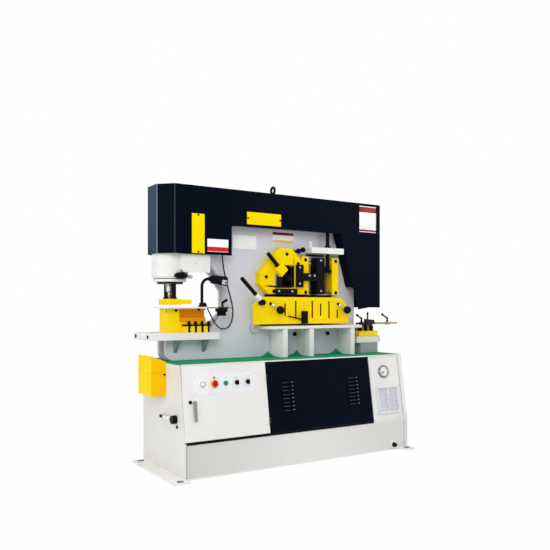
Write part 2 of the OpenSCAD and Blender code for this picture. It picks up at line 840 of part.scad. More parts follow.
// Two posts that carry the stripper
module stripper_posts() {
    color(black) for (side = [-1, 1]) translate([px, mid + side * post_out, stripper_top]) {
        cylinder(r = post_r, h = post_z - stripper_top);
        cylinder(r = post_r + 5, h = 12);
    }
}

// Sheet guard in front of the cylinder
module punch_guard() {
    x1 = -throat_x - 167;
    z = [deck + 583, deck + left_drop];
    front = fy0 - 70;
    x0 = px + 23;
    reach = mid - sqrt(pow(barrel_r, 2) - pow(23, 2)) - 0.6;
    color(white) difference() {
        union() {
            plate_xz([[x0 + 16, z[0]], [x1, z[0]], [x1, z[1]], [x0, z[1]], [x0, z[0] + 16]],
                front, front + guard_t);
            box([x1 - guard_t, x1], [front, fy0], z);
            box([x0, x0 + guard_t], [front, reach], [z[0] + 16, z[1]]);
        }
        rod_along_y(px + 122, z[0] + 60, 4, front - 1, front + guard_t + 1);
    }
}

// Punch table with its gussets, slotted around the frame
module punch_table() {
    x0 = -table_left;
    slot_x = -throat_x - (throat_low_z - jaw_low_z);
    z0 = table_z - table_t;
    color(white) {
        difference() {
            box([x0, -table_right], [table_y0, table_y0 + table_d], [z0, table_z]);
            box([slot_x, -table_right + 1], [fy0, fy3], [z0 - 1, table_z + 1]);
            for (y = [0.14, 0.86]) translate([x0 - 1, table_y0 + table_d * y, table_z - table_t / 2])
                rotate([0, 90, 0]) cylinder(r = 9, h = 40);
            translate([x0, mid, z0 - 1]) cylinder(r = 55, h = table_t + 2);
        }
        for (x = [px - 6, px + 200])
            plate_yz([[fy0, z0 + 1], [table_y0 + 10, z0 + 1], [table_y0 + 10, z0], [fy0, z0 - 86]], x, x + 24);
    }
}

// Yellow die block with its stepped front and clamp pads
module die_block() {
    pillar = 84;
    color(yellow) difference() {
        union() {
            box([die_x0, die_x1], [fy0, fy3], [table_z, die_z]);
            for (i = [0:3]) translate([die_x0 + pillar + 24 + i * 48, fy0 - 22, table_z]) cube([30, 44, 48]);
        }
        box([die_x0 + pillar, die_x1 + 1], [fy0 - 1, fy0 + 22], [table_z + 68, die_z + 1]);
        box([die_x0 + pillar, die_x1 + 1], [fy0 - 1, fy0 + 44], [table_z + 100, die_z - 12]);
        translate([px, mid, table_z - 1]) cylinder(r = punch_r + 4, h = die_h + 2);
    }
}

// Clamp bolts in front of the die block
module clamp_bolts() {
    pillar = 84;
    color(black) for (i = [0:3]) translate([die_x0 + pillar + 63 + i * 48, fy0 - 14, table_z]) {
        cylinder(r = 7, h = 74);
        translate([0, 0, 48]) cylinder(r = 13, h = 12, $fn = 6);
        translate([0, 0, 66]) sphere(r = 11);
    }
}

// Gauge plate over the die, with the graduated bar
module gauge_bar() {
    color("darkkhaki") {
        difference() {
            box([px - 92, lamp_x + lamp_base_r], [fy0 - 58, fy3 + 6], [die_z, plate_z]);
            translate([px, mid, die_z - 1]) cylinder(r = punch_r + 22, h = gauge_t + 2);
        }
        box([lamp_x - 24, px + 386], [bar_y0, bar_y0 + bar_d], [die_z, plate_z]);
        box([lamp_x - 24, lamp_x + lamp_base_r], [bar_y0 + bar_d - 1, fy0 - 57], [die_z, plate_z]);
    }
}

// Bent clamp lever: a stem and a raised arm
module clamp_lever(x, y, z, arm, side) {
    color(black) translate([x, y, z]) {
        cylinder(r = 9, h = 10);
        cylinder(r = 6.5, h = 30);
        translate([0, 0, 28]) sphere(r = 8.5);
        translate([0, 0, 28]) rotate([0, side * 60, 0]) cylinder(r = 6, h = arm);
        translate([side * arm * sin(60), 0, 28 + arm * cos(60)]) sphere(r = 10);
    }
}

module gauge_lever() {
    clamp_lever(lever_x, bar_y0 + bar_d / 2, plate_z + run_clear, 34, 1);
}

// Lamp foot, goose-neck and the gland of the cable
module lamp_stem() {
    z = plate_z + lamp_base_h;
    color(black) translate([lamp_x, lamp_y, 0]) {
        translate([0, 0, plate_z]) cylinder(r = lamp_base_r, h = 10);
        translate([0, 0, plate_z + 9]) cylinder(r1 = lamp_base_r - 3, r2 = neck_r + 6, h = lamp_base_h - 9);
        translate([0, 0, z - 1]) cylinder(r = neck_r, h = neck_top - z + 1);
        translate([neck_bend, 0, neck_top]) rotate([90, 0, 0])
            rotate_extrude(angle = 90, start = 90) translate([neck_bend, 0]) circle(r = neck_r);
        lamp_gland();
    }
}

// Gland where the cable leaves the lamp foot
module lamp_gland() {
    translate([lamp_base_r + 7.8, 0, plate_z + 5.4]) rotate([0, -29, 0]) cylinder(r = cable_d / 2 + 3, h = 26);
}

// Lamp head with its flared shade
module lamp_head() {
    color(black) translate([lamp_x + neck_bend + head_clear, lamp_y, neck_top + neck_bend])
        rotate([0, 90 + head_tilt, 0])
        rotate_extrude() polygon([[0, 0], [neck_r + 5, 0], [neck_r + 7, 10], [head_r - 3, 20], [head_r - 2, 26],
                                  [head_r - 2, 70], [head_r, 76], [head_r, 112], [head_r - 4, 112],
                                  [head_r - 4, 98], [0, 94]]);
}

// Ring of points around the route at one of its points
function ring_frame(i) = let(
    n = len(cable_route),
    a = cable_route[max(i - 1, 0)],
    b = cable_route[min(i + 1, n - 1)],
    d = (b - a) / norm(b - a),
    side = [0, 1, 0] - d * d[1],
    u = side / norm(side)
) [u, cross(d, u)];

// Lamp cable swept along its route
module lamp_cable() {
    sides = 8;
    n = len(cable_route);
    points = [for (i = [0:n - 1], k = [0:sides - 1]) let(f = ring_frame(i), w = 360 * k / sides)
        cable_route[i] + cable_d / 2 * (f[0] * cos(w) + f[1] * sin(w))];
    walls = [for (i = [0:n - 2], k = [0:sides - 1]) let(m = (k + 1) % sides)
        [i * sides + k, i * sides + m, (i + 1) * sides + m, (i + 1) * sides + k]];
    ends = [[for (k = [0:sides - 1]) sides - 1 - k], [for (k = [0:sides - 1]) (n - 1) * sides + k]];
    color(black) polyhedron(points, concat(walls, ends));
}

// Shear table on its three legs
module shear_table() {
    front = fy0 - shear_reach;
    z0 = shear_z - shear_t;
    legs = [-48, 178, 554];
    color(white) {
        box([-159, 657], [front, fy0], [z0, shear_z]);
        for (x = legs) box([x, x + leg_t], [front + 6, fy0], [deck, z0 + 1]);
    }
}

// Slotted guard in front of the flat shear, on two end blocks
module shear_guard() {
    slots = [[0, 59, 146], [92, 48, 166], [237, 40, 167], [313, 57, 145], [390, 38, 164], [467, 39, 101]];
    color(yellow) difference() {
        union() {
            plate_xz([[guard_x0, guard_z0], [guard_x1, guard_z0], [guard_x1, guard_z1 - 70],
                      [guard_x1 - 78, guard_z1], [guard_x0 + 71, guard_z1], [guard_x0, guard_z1 - 60]],
                     guard_y, guard_y + guard_plate_t);
            for (xs = [[slide_x0 - 34, slide_x0 + 6], [guard_x1 - 60, guard_x1]])
                box(xs, [guard_y + 1, fy0], [guard_z0 + 16, guard_z1 - 75]);
        }
        for (s = slots) box([s[0] - slot_w / 2, s[0] + slot_w / 2],
                            [guard_y - 1, guard_y + guard_plate_t + 1], [guard_z0 + s[1], guard_z0 + s[2]]);
    }
}

// Lever with a round knob, on a pivot in the guard's face
module guard_lever(x) {
    z = guard_z1 - 48;
    run = 57;
    drop = 45;
    out = 34;
    reach = norm([run, drop, out]);
    color(black) {
        rod_along_y(x, z, 10, guard_y - 14, guard_y - run_clear);
        translate([x, guard_y - 8, z]) rotate([0, 90 + atan(drop / run), 0]) rotate([atan(out / norm([run, drop])), 0, 0])
            cylinder(r = 6, h = reach);
        translate([x + run, guard_y - 8 - out, z - drop]) sphere(r = knob_r);
    }
}

module guard_lever_left() {
    guard_lever(guard_x0 + 130);
}

module guard_lever_right() {
    guard_lever(guard_x1 - 104);
}

// Stop block on the guard, with its small bar
module guard_stop() {
    x = guard_x0 + 392;
    color(black) {
        box([x, x + 42], [guard_y - 26, guard_y], [guard_z0 + 2, guard_z0 + 92]);
        translate([x + 5, guard_y - 14, guard_z0 + 30]) rotate([0, -78, 0]) cylinder(r = 5, h = 128);
    }
}

// Long hand lever of the hold-down
module hold_down_lever() {
    x = guard_x0 + 50;
    z = guard_z1 - 40;
    color(black) {
        rod_along_y(x, z, 20, guard_y - 38, guard_y - run_clear);
        translate([x, guard_y - 25, z]) rotate([0, -45, 0]) {
            cylinder(r = 9, h = 100);
            translate([0, 0, 30]) cylinder(r1 = 19, r2 = 17, h = 44);
            translate([0, 0, 76]) cylinder(r = 14, h = 155);
            translate([0, 0, 231]) cylinder(r1 = 14, r2 = 9, h = 6);
        }
    }
}

// Bolts of the bar shear plate, with heights above its lower edge
bar_bolts = [[50, 289], [-125, 121], [148, 222], [-62, 20]];

// Outline of the bar shear plate
function bar_outline() = [
    [-108, bar_z0], [180, bar_z0], [180, bar_z0 + 225], [167, bar_z0 + 259], [92, bar_z0 + 331],
    [-15, bar_z0 + 331], [-180, bar_z0 + 150], [-180, bar_z0 + 72]
];

// Eight-sided plate of the bar shear, with the guide of the clamp screw
module bar_shear_plate() {
    color(yellow) difference() {
        union() {
            plate_xz(bar_outline(), block_y, fy0);
            translate([clamp_x, clamp_y, clamp_z]) rotate([0, clamp_dir, 0])
                translate([-34, 0, -40]) cube([68, block_y - clamp_y + 1, 72]);
            translate([clamp_x, clamp_y, clamp_z]) rotate([0, clamp_dir, 0])
                translate([-34, -24, -40]) cube([68, 25, 72]);
        }
        box([bar_window[0], bar_window[1]], [block_y - 1, fy0 + 1], [bar_z0 + 45, window_z[1]]);
        for (b = bar_bolts) rod_along_y(b[0], bar_z0 + b[1], bolt_r + 3, block_y - 1, block_y + sink);
        box([-140, bar_window[0] - 12], [block_y - 1, block_y + 14], [bar_z0 + 49, bar_z0 + 61]);
        translate([clamp_x, clamp_y, clamp_z]) rotate([0, clamp_dir, 180])
            translate([0, 0, -60]) cylinder(r = 8 + run_clear, h = 160);
    }
}

// Clamp screw of the bar shear, with its grip
module bar_clamp() {
    color(black) translate([clamp_x, clamp_y, clamp_z]) rotate([0, -clamp_dir, 0]) {
        translate([0, 0, -74]) cylinder(r = 8, h = 114);
        translate([0, 0, 39]) cylinder(r = 14, h = 118);
        translate([0, 0, -84]) cylinder(r = 12, h = 11);
    }
}

// Two posts of the angle shear
module angle_posts() {
    w = 60;
    color(yellow) difference() {
        for (x = [180, angle_window[1]]) box([x, x + w], [block_y, fy0], [bar_z0, post_top]);
        for (x = [180 + 0.58 * w, angle_window[1] + 0.62 * w], z = [bar_z0 + 16, post_top - 24])
            rod_along_y(x, z, bolt_r + 3, block_y - 1, block_y + sink);
    }
}

// Black clamp that holds the fixed blades across the two section shears
module blade_clamp() {
    y = [block_y - 26, block_y];
    z0 = bar_z0;
    color(black) {
        box([124, 178], y, [z0 + 52, z0 + 215]);
        box([177, 300], y, [z0 + 100, z0 + 156]);
        box([297, 366], [block_y - 26, fy0], [z0 + 4, post_top - 6]);
        box([bar_window[0], 124], y, [z0, z0 + 40]);
    }
}

// White bar over the angle shear, with the nut of the hold-down screw
module hold_down_bar() {
    color("white") difference() {
        box([245, 543], [block_y - 32, fy0], [bar_low, bar_low + bar_h]);
        translate([screw_x, screw_y, bar_low - 1]) cylinder(r = screw_r + run_clear, h = bar_h + 2);
    }
}

// Hold-down screw with its foot and upper collar
module hold_down_screw() {
    color(black) translate([screw_x, screw_y, 0]) {
        translate([0, 0, screw_foot]) cylinder(r1 = 28, r2 = 24, h = 16);
        translate([0, 0, screw_foot + 15]) cylinder(r = screw_r, h = 325);
        translate([0, 0, bar_low + bar_h + run_clear]) cylinder(r1 = 24, r2 = screw_r + 4, h = 20);
    }
}

// Moving shear beam: raked blade below, two section windows, rod above and the notch punch on its arm
module shear_slide() {
    rake = 26;
    arm = [deck + 385, deck + 465];
    color("dimgray") {
        difference() {
            plate_xz([[slide_x0, slide_z0 + rake], [slide_x1, slide_z0], [slide_x1, slide_z1],
                      [slide_x0, slide_z1]], slide_y0, slide_y1);
            box(bar_hole, [slide_y0 - 1, slide_y1 + 1], [window_z[0] + 40, window_z[1] - 20]);
            box(angle_hole, [slide_y0 - 1, slide_y1 + 1], [window_z[0] + 20, window_z[1] - 10]);
        }
        translate([shear_x, mid, slide_z1 - 1]) cylinder(r = shear_rod_r, h = shear_stroke + 120);
        box([slide_x1 - 1, cover_right - 30], [slide_y0, slide_y1], arm);
        box([frame_right + 50, cover_right - 30], [slide_y0, slide_y1], [deck + 355, arm[0] + 1]);
    }
}

// Shear cylinder on the ledge of the cheeks
module shear_cylinder() {
    top = cover_z - cover_t - 40;
    color(white) difference() {
        translate([shear_x, mid, 0]) rotate_extrude() polygon([
            [0, ledge_z], [shear_barrel_r, ledge_z], [shear_barrel_r, ledge_z + 30],
            [shear_barrel_r - 8, ledge_z + 36], [shear_barrel_r - 8, top - 20],
            [shear_barrel_r - 18, top], [0, top]]);
        translate([shear_x, mid, ledge_z - 1]) cylinder(r = shear_rod_r + run_clear, h = 160);
    }
}

// Notcher table on its pedestal
module notch_table() {
    x1 = frame_right + 284;
    back = 2 * mid - notch_y0;
    z0 = notch_z - notch_t;
    color(white) {
        difference() {
            translate([0, 0, z0]) linear_extrude(notch_t) polygon([
                [notch_x0, notch_y0], [x1 - 107, notch_y0], [x1, notch_y0 + 105], [x1, back - 105],
                [x1 - 107, back], [notch_x0, back]]);
            box([notch_x0 - 1, frame_right], [fy0, fy3], [z0 - 1, notch_z + 1]);
        }
        box([frame_right, frame_right + 175], [notch_y0 + 6, back - 6], [deck, z0 + 1]);
    }
}

// Notcher die: a block with a slot between its two blade holders
module notch_die() {
    x = [frame_right + 14, frame_right + 204];
    y = [fy0 - 45, fy3 + 45];
    step = notch_z + notch_die_h / 2;
    color(yellow) {
        box(x, y, [notch_z, step]);
        for (s = [y[0] + 12, y[1] - 74])
            box([x[0] + 15, x[1] - 50], [s, s + 62], [step - 1, notch_die_z]);
    }
}

// Gauge rod with its brackets and stop
module notch_gauge() {
    x = [frame_right - 20, frame_right + 400];
    seat = notch_die_z;
    color(black) {
        translate([x[0], rod_y, rod_z]) rotate([0, 90, 0]) cylinder(r = rod_r, h = x[1] - x[0]);
        for (bx = notch_lever_xs) box([bx - 14, bx + 14], [rod_y - 12, rod_y + 12], [seat + 2, rod_z + 10]);
        box([frame_right + 40, frame_right + 140], [rod_y - 10, rod_y + 34], [seat, seat + 9]);
        plate_xz([[frame_right + 72, seat + 8], [frame_right + 160, seat + 8], [frame_right + 150, rod_z + 26],
                  [frame_right + 72, rod_z + 34]], rod_y - 16, rod_y + 16);
        translate([frame_right + 96, rod_y, rod_z + 30]) cylinder(r = 6, h = 52);
        translate([frame_right + 96, rod_y, rod_z + 78]) sphere(r = 9);
    }
}

module notch_lever_left() {
    clamp_lever(notch_lever_xs[0], rod_y, rod_z + 10 + run_clear, 50, -1);
}

module notch_lever_right() {
    clamp_lever(notch_lever_xs[1], rod_y, rod_z + 10 + run_clear, 58, -1);
}

base_plate();
cabinet_front();
cabinet_wrap();
deck_plate();
control_door();
control_plate();
estop_button();
start_button();
selector_left();
selector_right();
door_handle();
motor_panel();
tank_panel();
oil_gauge();
vent_grille();
slug_box();
isolator_handle();
oil_tank();
power_unit();
electrical_plate();
front_cheek();
rear_cheek();
lifting_eye();
left_cover();
middle_cover();
right_cover();
cover_plates();
punch_cylinder();
punch_ram();
punch();
stripper();
stripper_posts();
punch_guard();
punch_table();
die_block();
clamp_bolts();
gauge_bar();
gauge_lever();
lamp_stem();
lamp_head();
lamp_cable();
shear_table();
shear_guard();
guard_lever_left();
guard_lever_right();
guard_stop();
hold_down_lever();
bar_shear_plate();
bar_clamp();
angle_posts();
blade_clamp();
hold_down_bar();
hold_down_screw();
shear_slide();
shear_cylinder();
notch_table();
notch_die();
notch_gauge();
notch_lever_left();
notch_lever_right();
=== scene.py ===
# %% [markdown]
# # Dressing a hydraulic ironworker
# The machine punches, shears and notches steel. Its solids come packed from the CAD step as a fixed frame.
# This lesson sets the camera, hangs the lamp's cable, mixes the finishes and models the small fittings.

# %% Load the frame
import math
import bmesh
import bpy
from mathutils import Matrix, Vector


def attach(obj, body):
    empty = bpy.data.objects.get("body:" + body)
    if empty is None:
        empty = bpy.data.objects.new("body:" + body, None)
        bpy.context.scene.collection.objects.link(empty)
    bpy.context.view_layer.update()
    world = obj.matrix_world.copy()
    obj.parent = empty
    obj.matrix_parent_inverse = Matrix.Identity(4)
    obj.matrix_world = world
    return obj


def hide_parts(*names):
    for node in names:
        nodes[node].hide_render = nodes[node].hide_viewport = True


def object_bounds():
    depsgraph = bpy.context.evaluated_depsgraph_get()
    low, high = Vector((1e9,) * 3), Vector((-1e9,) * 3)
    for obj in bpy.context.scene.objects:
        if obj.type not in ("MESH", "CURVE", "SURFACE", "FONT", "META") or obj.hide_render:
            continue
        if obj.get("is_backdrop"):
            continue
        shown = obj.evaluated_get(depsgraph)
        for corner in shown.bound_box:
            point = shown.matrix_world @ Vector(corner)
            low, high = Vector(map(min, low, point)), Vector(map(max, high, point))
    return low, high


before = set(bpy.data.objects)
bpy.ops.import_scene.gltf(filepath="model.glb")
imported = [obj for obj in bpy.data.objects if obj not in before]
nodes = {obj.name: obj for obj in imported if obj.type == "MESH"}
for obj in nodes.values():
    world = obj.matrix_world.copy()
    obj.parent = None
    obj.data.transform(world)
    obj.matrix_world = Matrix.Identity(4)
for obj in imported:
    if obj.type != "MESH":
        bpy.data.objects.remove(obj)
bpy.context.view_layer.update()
MM = 0.001

# %% [markdown]
# The photograph was taken from the front left at about chest height, with the camera held level.
# A level camera keeps the uprights parallel, so the view is moved up with the lens shift and not by tilting.

# %% Camera
CAMERA_PLACE = (-2.561, -3.969, 1.043)
CAMERA_TURN = math.radians(-32.35)
SENSOR_MM = 36
LENS_MM = 43.06
SHIFT_UP = 0.0592

camera_data = bpy.data.cameras.new("camera")
camera = bpy.data.objects.new("camera", camera_data)
bpy.context.scene.collection.objects.link(camera)
camera.location = CAMERA_PLACE
camera.rotation_euler = (math.radians(90), 0, CAMERA_TURN)
camera_data.sensor_width = SENSOR_MM
camera_data.lens = LENS_MM
camera_data.shift_y = SHIFT_UP
bpy.context.scene.camera = camera
bpy.context.scene.view_settings.view_transform = "Standard"
print("camera", CAMERA_PLACE, LENS_MM, "mm")

# %% [markdown]
# The work lamp gets its current from a small terminal box behind the left cover. Its cable hangs down the frame
# in one loop and comes up again to the lamp's foot. A tube could be extruded along its route, but a curve with a
# round bevel is a cable already. Its knots carry the radius, so its box stays as slim as the cable, and its route
# repeats the points that the CAD solid follows.

# %% Lamp cable
CABLE_D = 9 * MM
CABLE_ROUTE = [
    (-455, 30, 1402), (-454, 30, 1380), (-450, 30, 1345), (-444, 29, 1305), (-436, 28, 1265),
    (-427, 27, 1225), (-416, 26, 1185), (-404, 26, 1145), (-392, 25, 1105), (-382, 25, 1065),
    (-376, 25, 1025), (-377, 25, 985), (-386, 25, 947), (-404, 25, 915), (-432, 25, 897),
    (-464, 24, 897), (-494, 22, 913), (-519, 20, 940), (-538, 18, 970), (-556, 17, 1001),
    (-572, 17, 1030), (-584, 17, 1052),
]
cable_points = [Vector(point) * MM for point in CABLE_ROUTE]

cable_curve = bpy.data.curves.new("work_lamp_cable", "CURVE")
cable_curve.dimensions = "3D"
cable_curve.bevel_depth = 1
cable_curve.bevel_resolution = 4
cable_curve.use_fill_caps = True
spline = cable_curve.splines.new("POLY")
spline.points.add(len(cable_points) - 1)
for knot, point in zip(spline.points, cable_points):
    knot.co = (*point, 1)
    knot.radius = CABLE_D / 2
cable = bpy.data.objects.new("work_lamp_cable", cable_curve)
bpy.context.scene.collection.objects.link(cable)
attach(cable, "machine")
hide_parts("lamp_cable")

# %% [markdown]
# A material is a sum of patterns. Its nodes could be placed and linked one by one, but then the sum is hard to
# see. One small class wraps a socket, so a sum of patterns is written as a sum, and any other node comes from
# its one method `node`.

# %% Sums of sockets
class Value:
    """A socket of a material's node tree that is used like a number."""

    def __init__(self, tree, socket=None):
        self.tree = tree
        self.socket = socket

    def node(self, kind, settings=None, inputs=None, out=0):
        """Adds a node with its settings first and then the values or links of its sockets."""
        new = self.tree.nodes.new(kind)
        for name, setting in (settings or {}).items():
            setattr(new, name, setting)
        for name, value in (inputs or {}).items():
            self.feed(new.inputs[name], value)
        return Value(self.tree, new.outputs[out])

    def feed(self, socket, value):
        """Links a value to a socket, or sets the socket's own number."""
        if isinstance(value, Value):
            self.tree.links.new(value.socket, socket)
        else:
            socket.default_value = value

    def math(self, operation, first, second):
        return self.node("ShaderNodeMath", {"operation": operation}, {0: first, 1: second})

    def __add__(self, other):
        return self.math("ADD", self, other)

    def __radd__(self, other):
        return self.math("ADD", other, self)

    def __sub__(self, other):
        return self.math("SUBTRACT", self, other)

    def __rsub__(self, other):
        return self.math("SUBTRACT", other, self)

    def __mul__(self, other):
        return self.math("MULTIPLY", self, other)

    def __rmul__(self, other):
        return self.math("MULTIPLY", other, self)

    def __lt__(self, other):
        return self.math("LESS_THAN", self, other)

    def __gt__(self, other):
        return self.math("GREATER_THAN", self, other)


print("sockets can be added, multiplied and compared")

# %% [markdown]
# Every finish starts from the same few patterns in Object coordinates: a slow one for uneven colour, a fine one
# for the grain of the surface and stretched ones for brushing. Pictures could give them too, but noise needs no
# file and keeps its scale on every piece.

# %% Patterns
def colour(red, green, blue):
    return (red, green, blue, 1)


def shade(tone, factor):
    """A colour made darker or paler by one factor."""
    return tuple(min(1.0, channel * factor) for channel in tone[:3]) + (1,)


def cloud(place, scale, detail, stretch=None):
    """Noise between 0 and 1, with about so many lumps to a metre."""
    if stretch:
        place = place.node("ShaderNodeMapping", inputs={"Vector": place, "Scale": stretch})
    return place.node("ShaderNodeTexNoise", inputs={"Vector": place, "Scale": scale, "Detail": detail})


def coordinate(place, axis):
    """One of the Object coordinates, in metres."""
    return place.node("ShaderNodeSeparateXYZ", inputs={0: place}, out=axis)


def blend(mask, low, high):
    """A colour between two others."""
    return mask.node("ShaderNodeMix", {"data_type": "RGBA"}, {0: mask, 6: low, 7: high}, out=2)


def ramp(value, low, high):
    """Spreads the part of a value from low to high over 0 to 1."""
    return value.node("ShaderNodeMapRange", inputs={0: value, 1: low, 2: high})


def bump(height, strength, distance):
    """A normal that follows a height pattern."""
    return height.node("ShaderNodeBump", inputs={"Height": height, "Strength": strength, "Distance": distance})


print("patterns: noise, coordinates, blends, ramps and bumps")

# %% [markdown]
# A finish begins as an empty material with its Object coordinates, which stay with a piece when it moves. At its
# end, the sums go to the shader, and the values that stay the same everywhere are set on the shader's own
# sockets.

# %% Begin and end of a finish
def new_finish(name):
    """A material and its Object coordinates."""
    material = bpy.data.materials.new(name)
    material.use_nodes = True
    return material, Value(material.node_tree).node("ShaderNodeTexCoord", out="Object")


def finished(material, tone, rough, normal=None, gloss=0.5, metallic=0.0):
    """Feeds the sums to the material's shader."""
    shader = material.node_tree.nodes["Principled BSDF"]
    tone.feed(shader.inputs["Base Color"], tone)
    tone.feed(shader.inputs["Roughness"], rough)
    if normal:
        tone.feed(shader.inputs["Normal"], normal)
    shader.inputs["Specular IOR Level"].default_value = gloss
    shader.inputs["Metallic"].default_value = metallic
    return material


print("a finish can be begun and ended")

# %% [markdown]
# Most of the machine is painted steel. Sprayed paint has a fine orange peel, lies a little thicker in places and
# gathers a thin film of shop dust. One flat colour would look like plastic, so colour, gloss and surface all
# change a little over a panel, and one function mixes every paint.

# %% Painted steel
SHOP_DUST = colour(0.45, 0.42, 0.38)
RUST_DUST = colour(0.6, 0.26, 0.0)
WHITE = colour(0.83, 0.82, 0.80)
YELLOW = colour(0.98, 0.69, 0.0)
PEEL_SCALE, PEEL_DEPTH = 420, 0.0006


def painted(name, base, rough, peel=0.12, uneven=0.06, dust=0.0, dust_tone=SHOP_DUST, gloss=0.5):
    material, place = new_finish(name)
    slow = cloud(place, 2.2, 4)
    fine = cloud(place, PEEL_SCALE, 2)
    streak = cloud(place, 9, 5, (1, 1, 0.18))
    coat = blend(ramp(slow, 0.3, 0.7), shade(base, 1 - uneven), shade(base, 1 + uneven / 2))
    film = ramp(streak, 0.52, 0.78) * dust
    return finished(material, blend(film, coat, dust_tone), rough + 0.14 * slow + 0.1 * fine - 0.12,
                    bump(fine, peel, PEEL_DEPTH), gloss)


white_paint = painted("white_enamel", WHITE, 0.36, dust=0.10, gloss=0.4)
# The cabinet's sides are the same white sheet as its front, painted darker as painted shade.
shaded_side_paint = painted("shaded_side_white_enamel", colour(0.77, 0.76, 0.74), 0.36, dust=0.10, gloss=0.4)
grey_paint = painted("frame_grey_enamel", colour(0.68, 0.685, 0.75), 0.42, dust=0.08, gloss=0.3)
black_paint = painted("navy_black_enamel", colour(0.0022, 0.0045, 0.0115), 0.40, uneven=0.2, dust=0.001,
                      gloss=0.022)
yellow_paint = painted("safety_yellow_enamel", YELLOW, 0.34, uneven=0.08, dust=0.03, dust_tone=RUST_DUST,
                       gloss=0.04)
# The blade orange is painted shade: the shaded side of the yellow right post, laid on the angle shear's side blade.
blade_shade_orange = painted("blade_shade_orange", colour(0.55, 0.26, 0.01), 0.5, uneven=0.3, dust=0.2, gloss=0.1)
# The slot shade is painted shade: the dark of a slit that is not cut.
slot_shade_paint = painted("slot_shade", colour(0.30, 0.06, 0.0), 0.5, gloss=0.1)
# The louvre paints are painted highlights: a pale edge along each louvre and a brighter glint at its end.
louvre_highlight_paint = painted("louvre_edge_highlight", colour(0.12, 0.145, 0.22), 0.45, gloss=0.1)
painted_louvre_glint = painted("painted_louvre_glint", colour(0.22, 0.26, 0.38), 0.45, gloss=0.1)
zinc_plate = painted("pale_sheet", colour(0.84, 0.85, 0.87), 0.4, peel=0.06, uneven=0.03, dust=0.05)
# The grille is painted darker than the pale sheet, as painted shade between its slats.
grille_shade_paint = painted("grille_shade_grey", colour(0.74, 0.75, 0.81), 0.45, peel=0.06, uneven=0.05, dust=0.05)
blue_paint = painted("motor_blue_enamel", colour(0.06, 0.13, 0.22), 0.45, dust=0.3)
tank_paint = painted("tank_grey_enamel", colour(0.24, 0.26, 0.29), 0.5, dust=0.3)
print("painted finishes mixed")

# %% [markdown]
# The bare metals differ by how they were worked: ground faces show fine lines along one way, blackened screws
# are dull and mottled, and plated handles are smooth with faint smears. Noise that is stretched along one axis
# makes the lines, so one function does for all of them.

# %% Metals
def metal(name, base, rough, lines=(1, 1, 1), line_scale=160, depth=0.15, metallic=1.0, gloss=0.5):
    material, place = new_finish(name)
    brushed = cloud(place, line_scale, 4, lines)
    smear = cloud(place, 7, 4)
    tone = blend(ramp(smear, 0.25, 0.75), shade(base, 0.82), shade(base, 1.08))
    return finished(material, tone, rough + 0.16 * brushed + 0.1 * smear - 0.13, bump(brushed, depth, 0.0004),
                    gloss, metallic)


ground_steel = metal("ground_steel", colour(0.56, 0.56, 0.55), 0.34, (1, 1, 0.03))
punch_steel = metal("punch_steel", colour(0.52, 0.43, 0.30), 0.30, (0.05, 0.05, 1))
black_steel = metal("blackened_steel", colour(0.005, 0.005, 0.007), 0.44, line_scale=90, depth=0.2, metallic=0.1,
                    gloss=0.07)
rim_steel = metal("dark_rim", colour(0.20, 0.21, 0.24), 0.24, line_scale=60, depth=0.02)
chrome = metal("plated_steel", colour(0.74, 0.74, 0.75), 0.16, line_scale=60, depth=0.02)
print("metal finishes mixed")

# %% [markdown]
# Knobs, handles and the lamp are moulded plastic with a fine spark-eroded grain. The deck carries a ribbed green
# mat, whose ribs run along the machine. The ribs could be modelled, but they are only a millimetre high, so a
# wave pattern and a bump show them without a face more.

# %% Plastic and rubber
MAT_RIB_PITCH = 0.012
WAVES_PER_SCALE = 3.2


def moulded(name, base, rough, grain=0.25, gloss=0.5):
    material, place = new_finish(name)
    grit = cloud(place, 900, 2)
    slow = cloud(place, 14, 3)
    tone = blend(ramp(slow, 0.3, 0.7), shade(base, 0.88), shade(base, 1.06))
    return finished(material, tone, rough + 0.16 * grit + 0.06 * slow - 0.1, bump(grit, grain, 0.0003), gloss)


def ribbed_mat(name, base, rib_pitch):
    material, place = new_finish(name)
    ribs = place.node("ShaderNodeTexWave", {"bands_direction": "Y"},
                      {"Vector": place, "Scale": 1 / rib_pitch / WAVES_PER_SCALE, "Distortion": 0.0})
    wear = cloud(place, 6, 5)
    grit = cloud(place, 500, 2)
    worn = blend(ramp(wear, 0.35, 0.75), shade(base, 0.85), shade(base, 1.12))
    return finished(material, blend(0.25 * ribs, worn, shade(base, 0.55)), 0.5 + 0.2 * wear + 0.1 * grit,
                    bump(ribs + 0.2 * grit, 0.5, 0.001), 0.15)


black_plastic = moulded("black_moulding", colour(0.004, 0.004, 0.006), 0.34, gloss=0.08)
red_plastic = moulded("red_moulding", colour(0.66, 0.002, 0.006), 0.28, 0.1, 0.1)
dark_red_plastic = moulded("dark_red_moulding", colour(0.10, 0.001, 0.002), 0.28, 0.1, 0.1)
green_plastic = moulded("green_moulding", colour(0.0, 0.30, 0.09), 0.28, 0.1, 0.1)
white_plastic = moulded("white_moulding", colour(0.82, 0.82, 0.82), 0.30, 0.1)
amber_plastic = moulded("yellow_moulding", colour(0.93, 0.64, 0.10), 0.35, 0.1)
cable_rubber = moulded("cable_rubber", colour(0.004, 0.004, 0.006), 0.5, 0.2, 0.08)
green_mat = ribbed_mat("green_ribbed_mat", colour(0.0, 0.30, 0.125), MAT_RIB_PITCH)
print("plastic and rubber finishes mixed")
